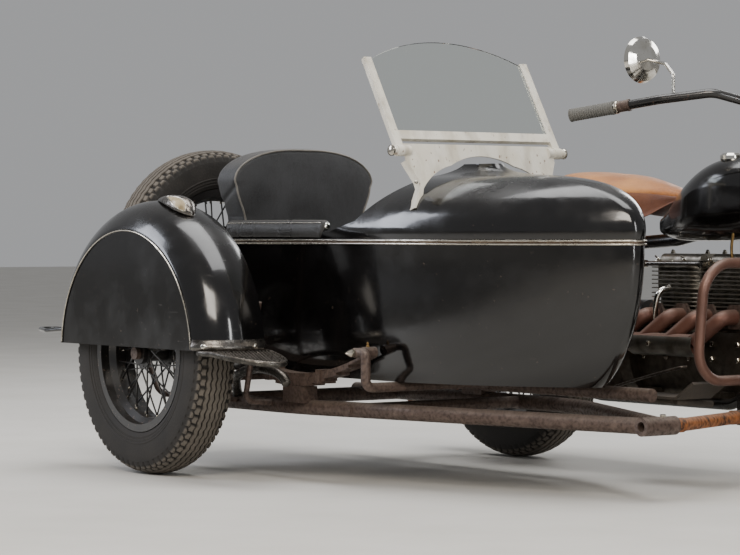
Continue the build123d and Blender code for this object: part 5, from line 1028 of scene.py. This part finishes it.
# %% Cockpit rail
# Across and height of the section: round head, flap outside the hull's wall, and back up beside it
RAIL_SECTION = np.array([
    (-952, 679), (-941, 679.6), (-933.5, 685), (-930.8, 694), (-933.5, 703), (-940, 708.4), (-948, 709.4),
    (-956.5, 706.4), (-962.4, 699.4), (-965.4, 690), (-966.4, 679), (-966.2, 669), (-964.4, 662.6),
    (-961.6, 660.8), (-959.4, 663), (-959, 671), (-959, 679),
], float)


def rail_shape():
    """Point = middle + sqrt(1 - e^2) (section - middle), where e grows from 0 to 1 over the last 15 mm."""
    x = np.linspace(-149, 330, 110)
    near_end = np.clip(1 - np.minimum(x + 149.5, 330.5 - x) / 15, 0, 1)
    share = np.concatenate([[0.0], np.sqrt(1 - near_end**2), [0.0]])[:, None, None]
    x = np.concatenate([x[:1], x, x[-1:]])
    loop = smooth_path(np.concatenate([RAIL_SECTION, RAIL_SECTION[:1]]), 3)[:-1]
    middle = np.array([-950.0, 692])
    flat = middle + share * (loop - middle)
    deep = np.broadcast_to(x[:, None, None], (*flat.shape[:2], 1))
    return place(np.concatenate([deep, flat], -1).reshape(-1, 3)), grid_faces(len(x), len(loop))


def cockpit_rail():
    """The stuffed roll with its flap, its welt and its stud."""
    piece = make("cockpit_rail_roll", rail_shape(), "chassis", rail_vinyl)
    seam = np.linspace((-140, -961, 702), (318, -961, 702), 90)
    wall = [np.linspace((-148, -959, z), (328, -959, z), 120) for z in (664, 668, 672, 676, 680)]
    swell(piece, 3.6, 4, 3, [seam, *wall])
    press(piece, laid_on(piece, seam, 0), 1.2, 4)
    stuffed(piece)
    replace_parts(piece, "cockpit_rail")
    welt("cockpit_rail_welt", piece, seam, 1.8, nickel)
    stud = turned([(0, -4), (7, -4), (8.5, 0), (8.5, 3), (6, 6), (0, 7)], 20)
    points, faces = copies(stud, [(329, -949, 693)], [(1, -0.2, 0.1)])
    make("cockpit_rail_stud", (place(points), faces), "chassis", chrome)


cockpit_rail()

# %% [markdown]
# ## Trim of the sidecar
# Two bright beads with a brown hollow between them run round the whole body at the belt. The body's
# outline from above is two straight sides, two long arcs and a small round nose and tail, so the beads
# are a section carried along that outline, every point moved out along the outline's own normal.

# %% Belt moulding
def body_outline(out):
    """Arcs and lines of the belt: straight sides, long bow arcs of one radius, round nose and tail."""
    half, nose_radius, tail_radius = 280.0, 36.0, 110.0
    bulge_x, nose_x, tail_x = 560.0, 1289.0, -580.0
    run = nose_x - nose_radius - bulge_x
    big = (run**2 + half**2 - nose_radius**2) / (2 * (half - nose_radius))
    turn = np.arctan2(run, big - half)
    tail = np.linspace(np.pi, np.pi / 2, 20)
    tail_arc = np.stack([tail_x + tail_radius + (tail_radius + out) * np.cos(tail),
                         half - tail_radius + (tail_radius + out) * np.sin(tail)], -1)
    bow = np.linspace(0, turn, 60)
    bow_arc = np.stack([bulge_x + (big + out) * np.sin(bow), half - big + (big + out) * np.cos(bow)], -1)
    nose = np.linspace(np.pi / 2 - turn, 0, 20)[1:]
    nose_arc = np.stack([nose_x - nose_radius + (nose_radius + out) * np.cos(nose),
                         (nose_radius + out) * np.sin(nose)], -1)
    left = np.concatenate([tail_arc, bow_arc, nose_arc])
    right = left[-2::-1] * [1, -1]
    return np.concatenate([left, right]) + [0, MIDDLE_Y]


def round_the_body(section):
    """A closed section of (out, height) pairs carried round the belt."""
    rings = []
    for out, level in section:
        outline = body_outline(out)
        rings.append(np.concatenate([outline, np.full((len(outline), 1), float(level))], 1))
    points = np.stack(rings, 1)
    return place(points.reshape(-1, 3)), grid_faces(len(points), len(section), wrap_rows=True)


def bead_section(level, radius, out):
    """A small circle beside the body: out + radius cos a, level + radius sin a."""
    angle = np.arange(10) * 2 * np.pi / 10
    return np.stack([out + radius * np.cos(angle), level + radius * np.sin(angle)], -1)


def belt():
    """Upper and lower bright beads over a brown strip."""
    hollow = [(0.5, 643.6), (3.4, 643.6), (3.4, 656.4), (0.5, 656.4)]
    strip = make("belt_strip", round_the_body(hollow), "chassis", belt_brown, 20)
    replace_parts(strip, "belt_moulding")
    for name, level in (("belt_upper_bead", 654.4), ("belt_lower_bead", 645.6)):
        make(name, round_the_body(bead_section(level, 2.7, 4.4)), "chassis", nickel)


# The hollow between the beads, where polish and rust have dried brown
belt_brown = rusted("belt_brown", "#5b4a3c", "#37291f", "#8a7a66", 0.6, (0.35, 0.6), 16)
belt()

# %% [markdown]
# The sidecar's fender carries a bright wire on its pressed bead and a chrome band with slotted screws
# round its lower front edge. Under the band a steel tray with a rolled rim and a ribbed top makes a
# step, and a stout bent bar guards it from below. The fender is turned about the wheel's axle, so its
# wire is an arc and its band follows a level cut through the turned form.

# %% Fender trim
AXLE = np.array([-150.0, -1200.0, 338.0])


def fender_cut(level, out):
    """Level cut through the fender: x = axle + sqrt(r^2 - h^2), r rising from the side to the crown."""
    sweep = np.linspace(0.04, 1, 30)
    turn = sweep * np.pi / 2
    crown = np.stack([349 + 78 * np.sin(turn) ** 1.15, -1298 + 118 * (1 - np.cos(turn))], -1)
    inner = np.array([(424, -1150), (417, -1125), (409, -1106)], float)
    radius, y = np.concatenate([crown, inner]).T
    x = AXLE[0] + np.sqrt(radius**2 - (level - AXLE[2]) ** 2)
    path = np.stack([x, y, np.full(len(y), float(level))], -1)
    along = unit(np.gradient(path, axis=0))
    return path + out * np.cross(along, [0.0, 0, 1])


def fender_band():
    """Height and way out of each corner of the band's section, carried round the cut."""
    section = [(359, 0.4), (359, 5), (362, 7.6), (367, 8.6), (373, 7.6), (378, 4.4), (382, 3.4), (387, 3),
               (388, 0.4)]
    rings = [fender_cut(level, out) for level, out in section]
    points = np.stack(rings, 1)
    ends = points.mean(1, keepdims=True)[[0, -1]] + 0 * points[[0, -1]]
    points = np.concatenate([ends[:1], points, ends[1:]])
    return place(points.reshape(-1, 3)), grid_faces(len(points), len(section))


def screws(name, places, directions, body, look, radius):
    """Slotted screws: raised round heads are turned, and a dark bar let into each paints the shade of its
    slot.
    """
    edge = [(0, -1), (radius, -1), (radius, 0.8), (0.7 * radius, 2.6), (0.25 * radius, 3.2), (0, 3.3)]
    points, faces = copies(turned(edge, 16), places, directions)
    make(name, (place(points), faces), body, look)
    size = np.array([0.85 * radius, 0.7, 0.5])
    box = np.array([(x, y, z) for x in (-1, 1) for y in (-1, 1) for z in (-1, 1)]) * size + [0, 0, 3.0]
    sides = np.array([(0, 1, 3, 2), (4, 6, 7, 5), (0, 4, 5, 1), (2, 3, 7, 6), (0, 2, 6, 4), (1, 5, 7, 3)])
    points, faces = copies((box, sides), places, directions)
    # A dark bar of painted shade stands in for each slot's groove
    make(name + "_slots", (place(points), faces), body, slot_shade)


# Painted shade of the slots' grooves, with dirt in them as well
slot_shade = rusted("slot_shade_and_dirt", "#1c1613", "#120e0c", "#2c2420", 0.2)


def fender_trim():
    """Wire, band with its screws, and guard bar with a rounded end."""
    angle = np.radians(np.linspace(4, 176, 120))
    x, z = AXLE[0] + 343 * np.cos(angle), AXLE[2] + 343 * np.sin(angle)
    arc = np.stack([x, np.full(len(x), -1300.6), z], -1)
    points, faces = tube(arc, 1.9, 8, (0, 1, 0))
    make("fender_bead_wire", (place(points), faces), "chassis", nickel)
    make("fender_band", fender_band(), "chassis", dim_chrome)
    cut = fender_cut(370, 8.4)
    spots = [9, 30]
    out = np.cross(unit(np.gradient(cut, axis=0)), [0.0, 0, 1])
    screws("fender_band_screws", cut[spots], out[spots], "chassis", chrome, 8.0)
    bar = smooth_path([(-30, -1000, 218), (46, -1052, 276), (150, -1064, 302), (240, -1068, 300),
                       (290, -1066, 284), (308, -1064, 262)], 12)
    run = np.arange(len(bar))[::-1]
    size = 13.5 * np.sqrt(1 - np.clip(1 - run / 4, 0, 0.98) ** 2)
    points, faces = tube(bar, size, 18, (0, 1, 0))
    make("step_guard_bar", (place(points), faces), "chassis", step_steel)


# Plan of the tread plate: from under the fender forward round a broad nose and back
PLATE = np.array([
    (216, -1298), (286, -1296), (352, -1278), (404, -1244), (434, -1200), (436, -1162), (408, -1132),
    (356, -1112), (300, -1102), (256, -1108), (224, -1180), (212, -1250),
], float)
PLATE_MIDDLE = np.array([322.0, -1200])


def smooth_loop(corners):
    """A closed smooth path: its corners run on past both ends, and the surplus is cut off."""
    loop = np.concatenate([corners[-2:], corners, corners[:3]])
    return smooth_path(loop, 8)[16:16 + 8 * len(corners)]


def plate_fall(x):
    """The plate is level under the fender and dips by 27 mm over its front 162 mm."""
    return 27 * np.clip((x - 285) / 162, 0, 1)


def step_plate():
    """A tray with a rolled rim: scale and height of each ring, from the middle out and back below."""
    turn = np.linspace(np.pi * 0.9, -np.pi * 0.5, 12)
    rim = [(0.955 + 0.045 * np.cos(a), 352.0 + 7.5 * np.sin(a)) for a in turn]
    rings = [(0, 355.5), (0.5, 355.5), (0.88, 355.5), *rim, (0.88, 344.6), (0.5, 344.6), (0, 344.6)]
    points, faces = bag(smooth_loop(PLATE), PLATE_MIDDLE, rings, [0, 1, 2])
    points[:, 2] -= plate_fall(points[:, 0])
    piece = make("step_plate", (place(points), faces), "chassis", step_steel)
    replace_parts(piece, "fender_step")


def edge_hits(outline, normal, offset):
    """Where the line normal . p = offset crosses a closed outline: share = (offset - a) / (b - a)."""
    first = outline @ normal - offset
    second = np.roll(first, -1)
    crossed = np.flatnonzero(first * second < 0)
    share = (first[crossed] / (first[crossed] - second[crossed]))[:, None]
    return outline[crossed] + share * (np.roll(outline, -1, axis=0)[crossed] - outline[crossed])


def step_mat():
    """Slanted ribs cut to the tread plate: each is a roll between two edges of the plate's outline."""
    outline = PLATE_MIDDLE + 0.89 * (smooth_loop(PLATE) - PLATE_MIDDLE)
    slant = unit([0.35, 0.94])
    reach = outline @ slant
    ribs = []
    for offset in np.arange(reach.min() + 8, reach.max() - 6, 10.0):
        line = np.linspace(*edge_hits(outline, slant, offset)[:2], 14)
        level = 356.0 - plate_fall(line[:, 0])
        ribs.append(tube(np.concatenate([line, level[:, None]], 1), 2.9, 8))
    points, faces = together(*ribs)
    make("step_mat", (place(points), faces), "chassis", step_steel)


fender_trim()
step_plate()
step_mat()

# %% [markdown]
# The springs hang in round eyes on pins. Each pin ends in a pointed nut and its barrel has a grease
# nipple on top. The marker lamp is a long drop of bright metal on the fender's crown, with a cream
# window in its outer side, and round nuts and screws hold the windscreen and its bracket.

# %% Nuts, nipples and lamp lens
POINTED_NUT = turned([(0, -2), (12, -2), (12, 5), (10, 9), (5, 17), (1.5, 23), (0, 24)], 6)
GREASE_NIPPLE = turned([(0, -3), (5, -3), (5, 3), (2.5, 5), (3.4, 9), (2, 12), (0, 12.5)], 10)


def spring_ends():
    """Pointed nuts on the outer ends of the spring pins, and a nipple on every barrel."""
    pins = np.array([(261 + side * 311, y, 359) for y in (-990, -366) for side in (-1, 1)], float)
    outward = np.array([(0, -1 if y < -600 else 1, 0) for y in pins[:, 1]], float)
    points, faces = copies(POINTED_NUT, pins + outward * 50, outward)
    make("spring_pin_nuts", (place(points), faces), "chassis", nickel)
    up = np.tile([0.0, 0, 1], (4, 1))
    points, faces = copies(GREASE_NIPPLE, pins + [0, 0, 15], up)
    make("grease_nipples", (place(points), faces), "chassis", brass)


def lens_dome(name, centre, direction, radius, depth, body, look):
    """A shallow dome: radius cos t, depth sin t."""
    turn = np.linspace(0, np.pi / 2, 9)
    profile = np.stack([radius * np.cos(turn), depth * np.sin(turn)], -1)
    profile = np.concatenate([[(0, -3), (radius, -3)], profile[:-1], [(0, depth)]])
    points, faces = copies(turned(profile, 28), [centre], [direction])
    make(name, (place(points), faces), body, look)


spring_ends()
# Lamp glass gone amber: a plain metal's clouds without the metal
cream_lens = plain_metal("cream_lens", "#b3a588", "#857659", (0.25, 0.4))
cream_lens.node_tree.nodes["Principled BSDF"].inputs["Metallic"].default_value = 0.0


# Share of the lamp's half length, of its half width and of its height
LAMP_FORM = smooth_path([
    (-1, 0, 0), (-0.8, 0.32, 0.26), (-0.4, 0.74, 0.58), (0, 0.97, 0.84), (0.35, 1, 1), (0.6, 0.86, 0.98),
    (0.8, 0.57, 0.72), (0.93, 0.3, 0.38), (1, 0, 0),
], 6)
# The window's corners: share of the half length, and degrees up from the outer side
WINDOW = np.array([
    (-0.2, 52), (0.2, 62), (0.58, 66), (0.76, 52), (0.8, 16), (0.5, 14), (0.12, 32),
], float)


def lamp_skin(along, around, lift=0.0):
    """Across = (w + lift) cos a, rise = (h + lift) sin a, and the length is bent round the wheel's axle."""
    wide = 34 * np.interp(along, LAMP_FORM[:, 0], LAMP_FORM[:, 1])
    tall = 33 * np.interp(along, LAMP_FORM[:, 0], LAMP_FORM[:, 2])
    across = (wide + lift) * np.cos(around)
    rise = (tall + lift) * np.sin(around)
    radius = 427 + np.where(rise > 0, rise, 0.2 * rise)
    turn = 0.25 + 94 * along / 430
    return np.stack([AXLE[0] + radius * np.sin(turn), -1196 + across, AXLE[2] + radius * np.cos(turn)], -1)


def marker_lamp():
    """A shell along the crown, a cream window in its outer side and a raised rim round the window."""
    along = -np.cos(np.linspace(0, np.pi, 48))[:, None]
    around = (np.arange(40) * 2 * np.pi / 40)[None]
    shell = lamp_skin(along + 0 * around, around + 0 * along).reshape(-1, 3)
    piece = make("marker_shell", (place(shell), grid_faces(48, 40)), "chassis", dim_chrome, 60)
    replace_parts(piece, "marker_lamp")
    loop = smooth_loop(WINDOW) * [1, -np.pi / 180] + [0, np.pi]
    middle = loop.mean(0)
    rings = [(0, 2.2), (0.35, 2.0), (0.7, 1.5), (0.92, 0.8), (1, -0.4), (1, -2.5), (0.5, -3), (0, -3)]
    scale, lift = np.array(rings).T[..., None]
    spread = middle + scale[..., None] * (loop - middle)
    glass = lamp_skin(spread[..., 0], spread[..., 1], lift).reshape(-1, 3)
    faces = grid_faces(len(rings), len(loop))
    make("marker_lens", (place(glass), faces), "chassis", cream_lens, 60)
    edge = lamp_skin(*np.concatenate([loop, loop[:1]]).T, 0.6)
    points, faces = tube(edge, 2.1, 10, (0.1, -0.2, 0.97))
    make("marker_rim", (place(points), faces), "chassis", nickel, 60)


marker_lamp()
# Dull red glass of the tail lamp
tail_red = clear_glass("red_tail_glass", "#7a0d0a", 0.15)
lens_dome("tail_lens", (-434, 0, 560), (-1, 0, 0), 29, 9, "chassis", tail_red)
screws("bracket_screws", [(703, -930, 806), (703, -426, 806)], [(0.9, -0.35, 0.25), (0.9, 0.35, 0.25)],
       "chassis", nickel, 5.0)
pivot_nut = turned([(0, -2), (13, -2), (14.5, 0), (14.5, 5), (12, 7.5), (6, 8.6), (0, 9)], 28)
points, faces = copies(pivot_nut, [(653, -970, 890), (653, -386, 890)], [(0, -1, 0), (0, 1, 0)])
make("pivot_nuts", (place(points), faces), "chassis", nickel)

# %% [markdown]
# ## Trim of the engine
# Small bright parts catch the eye between the black body and the tank: a control rod along the heads,
# a curved breather pipe, a fuel pipe of brass, bolts on the links and the shield. They are tubes along
# short paths and turned bolts. Head nuts and plugs follow the four cylinders at their pitch.

# %% Engine trim
HEX_BOLT = turned([(0, -2), (8, -2), (8, 4.5), (6.8, 5.5), (0, 5.5)], 6)
CAP_NUT = turned([(0, -2), (7, -2), (7, 4), (5.6, 4.4), (5.2, 8), (2.6, 10.6), (0, 11)], 6)
PLUG = turned([(0, -6), (9, -6), (9, 0), (5.5, 0), (5.5, 4), (6.6, 4), (6.6, 8), (4.6, 8), (4.4, 30),
               (2.4, 31), (2.4, 40), (0, 40)], 12)


def trim_tube(name, corners, radius, look):
    """A thin round tube that bends smoothly through its corners."""
    points, faces = tube(smooth_path(corners, 8), radius, 12, (0.2, 0.95, 0.24))
    make(name, (place(points), faces), "chassis", look)


def bolts(name, shape, places, directions, look):
    """One bolt shape at several places."""
    points, faces = copies(shape, places, directions)
    make(name, (place(points), faces), "chassis", look, 30)


trim_tube("control_rod", [(620, -92, 586), (700, -92, 589), (890, -92, 590)], 7.0, dim_chrome)
rod_end = turned([(0, -8), (10.5, -8), (10.5, 8), (0, 8)], 16)
spots = [(892, -90, 588), (662, -92, 588)]
bolts("control_rod_ends", rod_end, spots, [(0, -1, 0), (0, -1, 0)], nickel)
bends = [(758, -84, 524), (748, -112, 512), (740, -120, 480), (728, -112, 430), (722, -100, 398)]
trim_tube("breather_pipe", bends, 8.0, chrome)
bends = [(1034, -92, 700), (1026, -96, 690), (1014, -96, 640), (1010, -88, 600), (1010, -72, 592)]
trim_tube("fuel_pipe", bends, 4.0, brass)
bends = [(655, -196, 246), (760, -200, 272), (905, -200, 306), (930, -180, 312)]
trim_tube("throttle_rod", bends, 4.0, oily_steel)
HEADS = [1010 - 104 * index for index in range(4)]
spots = [(x + dx, side * 50, 586) for x in HEADS for dx in (-34, 34) for side in (-1, 1)]
bolts("head_nuts", CAP_NUT, spots, np.tile([0.0, 0, 1], (len(spots), 1)), nickel)
spots = [(x, -54, 584) for x in HEADS]
bolts("spark_plugs", PLUG, spots, np.tile([0.0, -0.75, 0.66], (4, 1)), nickel)
spots = [(x + dx, 0, 617) for x in (958, 750) for dx in (-70, 70)]
bolts("cover_nuts", CAP_NUT, spots, np.tile([0.0, 0, 1], (len(spots), 1)), nickel)
spots = [(x, -79, 446) for x in HEADS]
flange = turned([(23, -4), (38, -4), (38, 4), (23, 4)], 6)
bolts("exhaust_flanges", flange, spots, np.tile([0.0, -1, 0], (4, 1)), chassis_rust)
bolts("shield_screw", HEX_BOLT, [(790, -193, 371)], [(0, -1, 0)], nickel)
bolts("link_bolts", HEX_BOLT, [(1108, -188, 186), (1290, -600, 214), (0, -185.5, 242)],
      [(0, -1, 0), (0, 0, 1), (0, -1, 0)], nickel)
spots = [(x, -97, z) for x in (668, 760, 850, 940, 1040) for z in (330, 372)]
bolts("crankcase_bolts", HEX_BOLT, spots, np.tile([0.0, -1, 0], (len(spots), 1)), nickel)

# %% [markdown]
# ## Controls, lamps and chain
# The grips are ribbed rubber sleeves with a nickel collar, and the right one turns against a brown
# twist sleeve. The mirror's glass faces the rider, and a bowl of polished metal stands behind the
# headlamp's lens. All of them are turned profiles, laid along the bar's ends or the lamp's axis.

# %% Controls and lamps
# The bar's bends and tips, right and left, and the back of the headlamp's bowl
BAR_TURN = np.array([[950.0, -300, 1030], [950.0, 300, 1030]])
BAR_TIPS = np.array([[724.0, -402, 995], [724.0, 402, 995]])
LAMP_BACK = (1268, 0, 940)


def sleeve(profile, tip, bend, back):
    """A turned sleeve along the bar's end, placed by its distance back from the tip."""
    way = unit(bend - tip)
    return copies(turned(profile, 28), [tip + way * back], [way])


def sleeves(profile, back):
    """The same sleeve on both ends of the bar."""
    return together(*[sleeve(profile, tip, bend, back) for tip, bend in zip(BAR_TIPS, BAR_TURN)])


def ribbed_grip():
    """Radius = 17.2 + 0.9 cos(2 pi s / 7) along 118 mm, with a rolled rim at both ends."""
    run = np.linspace(4, 122, 102)
    ribs = np.stack([17.2 + 0.9 * np.cos(run * 2 * np.pi / 7), run], -1)
    return np.concatenate([[(0, -1), (15, -1), (18.3, 0.5), (18.6, 2.5)], ribs, [(18.8, 124), (18.8, 129),
                           (16, 131.4), (13.2, 131.4), (13.2, 20), (0, 20)]])


def controls():
    """Grips in place of their solids, collars, the mirror's glass and the lamp's reflector."""
    points, faces = sleeves(ribbed_grip(), -13.5)
    piece = make("ribbed_grips", (place(points), faces), "steering", grip_rubber)
    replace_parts(piece, "grips")
    collar = [(12.9, 0), (17, 0), (18, 1.5), (18, 8), (17, 9.5), (12.9, 9.5)]
    points, faces = sleeves(collar, 120)
    make("grip_collars", (place(points), faces), "steering", nickel)
    twist = [(12.9, 0), (15.4, 0), (15.4, 26), (16.6, 27), (16.6, 33), (15.4, 34), (12.9, 34)]
    points, faces = sleeve(twist, BAR_TIPS[0], BAR_TURN[0], 130)
    make("twist_sleeve", (place(points), faces), "steering", chassis_rust)
    glass = turned([(0, -1), (59, -1), (60.5, 0.6), (58, 1.0), (0, 2.4)], 48)
    points, faces = copies(glass, [(819, -250, 1144)], [(-1, 0, 0)])
    make("mirror_glass", (place(points), faces), "steering", silvering)
    bowl = turned([(0, 19), (14, 20), (40, 34), (62, 58), (80, 95), (85.4, 103), (84, 103.6), (78, 96),
                   (60, 61), (38, 37), (13, 23.4), (0, 22.6)], 48)
    points, faces = copies(bowl, [LAMP_BACK], [(1, 0, 0)])
    make("lamp_reflector", (place(points), faces), "steering", silvering)
    bulb = turned([(0, 22), (9, 22), (9, 34), (11, 40), (12.4, 52), (9, 62), (0, 66)], 20)
    points, faces = copies(bulb, [LAMP_BACK], [(1, 0, 0)])
    make("lamp_bulb", (place(points), faces), "steering", cream_lens)


controls()

# %% [markdown]
# The final drive is a roller chain, in which two kinds of link alternate: each is a pair of waisted side
# plates with a roller. The chain's line is worked out first, points at one pitch round two circles and
# their tangents. Then each link is laid from its own pin to the next, so the links bend round the
# chain wheels as real ones do.

# %% Drive chain
def chain_line():
    """Points at a pitch near 15 mm round two circles and their common tangents."""
    front, rear, front_r, rear_r = np.array([502.0, 300]), np.array([0.0, 338]), 38.5, 101.5
    span = front - rear
    tilt = np.arctan2(span[1], span[0])
    lean = np.arccos((rear_r - front_r) / np.linalg.norm(span))
    over = np.linspace(lean, -lean, 40) + tilt
    under = np.linspace(-lean, lean - 2 * np.pi, 90) + tilt
    loop = np.concatenate([front + front_r * np.stack([np.cos(over), np.sin(over)], -1),
                           rear + rear_r * np.stack([np.cos(under), np.sin(under)], -1)])
    loop = np.concatenate([loop, loop[:1]])
    run = np.concatenate([[0], np.cumsum(np.linalg.norm(np.diff(loop, axis=0), axis=1))])
    count = 2 * int(round(run[-1] / 15.0 / 2))
    stations = np.linspace(0, run[-1], count + 1)[:-1]
    return np.stack([np.interp(stations, run, loop[:, 0]), np.interp(stations, run, loop[:, 1])], -1)


def link_plate(length, high, low):
    """A waisted plate round two pins: half height 4.3 at a pin and 2.9 at the waist."""
    along = np.array([-6.5, -4.5, 0, 4.5, 6.5, 6.5, 4.5, 0, -4.5, -6.5]) / 15
    tall = np.array([2.2, 4.3, 2.9, 4.3, 2.2, -2.2, -4.3, -2.9, -4.3, -2.2])
    ring = np.stack([(along * 1.5 + 0.5) * length, tall], -1)
    middle = ring.mean(0)
    loops = [np.concatenate([middle + share * (ring - middle), np.full((10, 1), y)], 1)[:, [0, 2, 1]]
             for share, y in ((0, low), (1, low), (1, high), (0, high))]
    return np.concatenate(loops), grid_faces(4, 10)


def chain():
    """Outer and inner links in turn, each laid from its own pin to the next."""
    pins = chain_line()
    way = np.roll(pins, -1, axis=0) - pins
    pitch = np.linalg.norm(way, axis=1).mean()
    shapes = []
    for parity, gaps in ((0, ((5.0, 6.1), (-6.1, -5.0))), (1, ((3.6, 4.7), (-4.7, -3.6)))):
        plates = together(*[link_plate(pitch, high, low) for low, high in gaps])
        roller = turned([(0, -3.5), (3.4, -3.5), (3.4, 3.5), (0, 3.5)], 8)
        roller = (roller[0][:, [0, 2, 1]], roller[1])
        points, faces = together(plates, roller)
        start, direction = pins[parity::2], unit(way[parity::2])
        x = start[:, 0:1] + points[:, 0] * direction[:, 0:1] - points[:, 2] * direction[:, 1:2]
        z = start[:, 1:2] + points[:, 0] * direction[:, 1:2] + points[:, 2] * direction[:, 0:1]
        y = 86 + points[:, 1] + 0 * x
        shift = np.arange(len(start))[:, None, None] * len(points)
        shapes.append((np.stack([x, y, z], -1).reshape(-1, 3), (faces[None] + shift).reshape(-1, 4)))
    points, faces = together(*shapes)
    piece = make("roller_chain", (place(points), faces), "chassis", oily_steel, 30)
    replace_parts(piece, "drive_chain")


chain()

# %% [markdown]
# ## Close
# The last cell brings the scene up to date.

# %% Update the scene
bpy.context.view_layer.update()
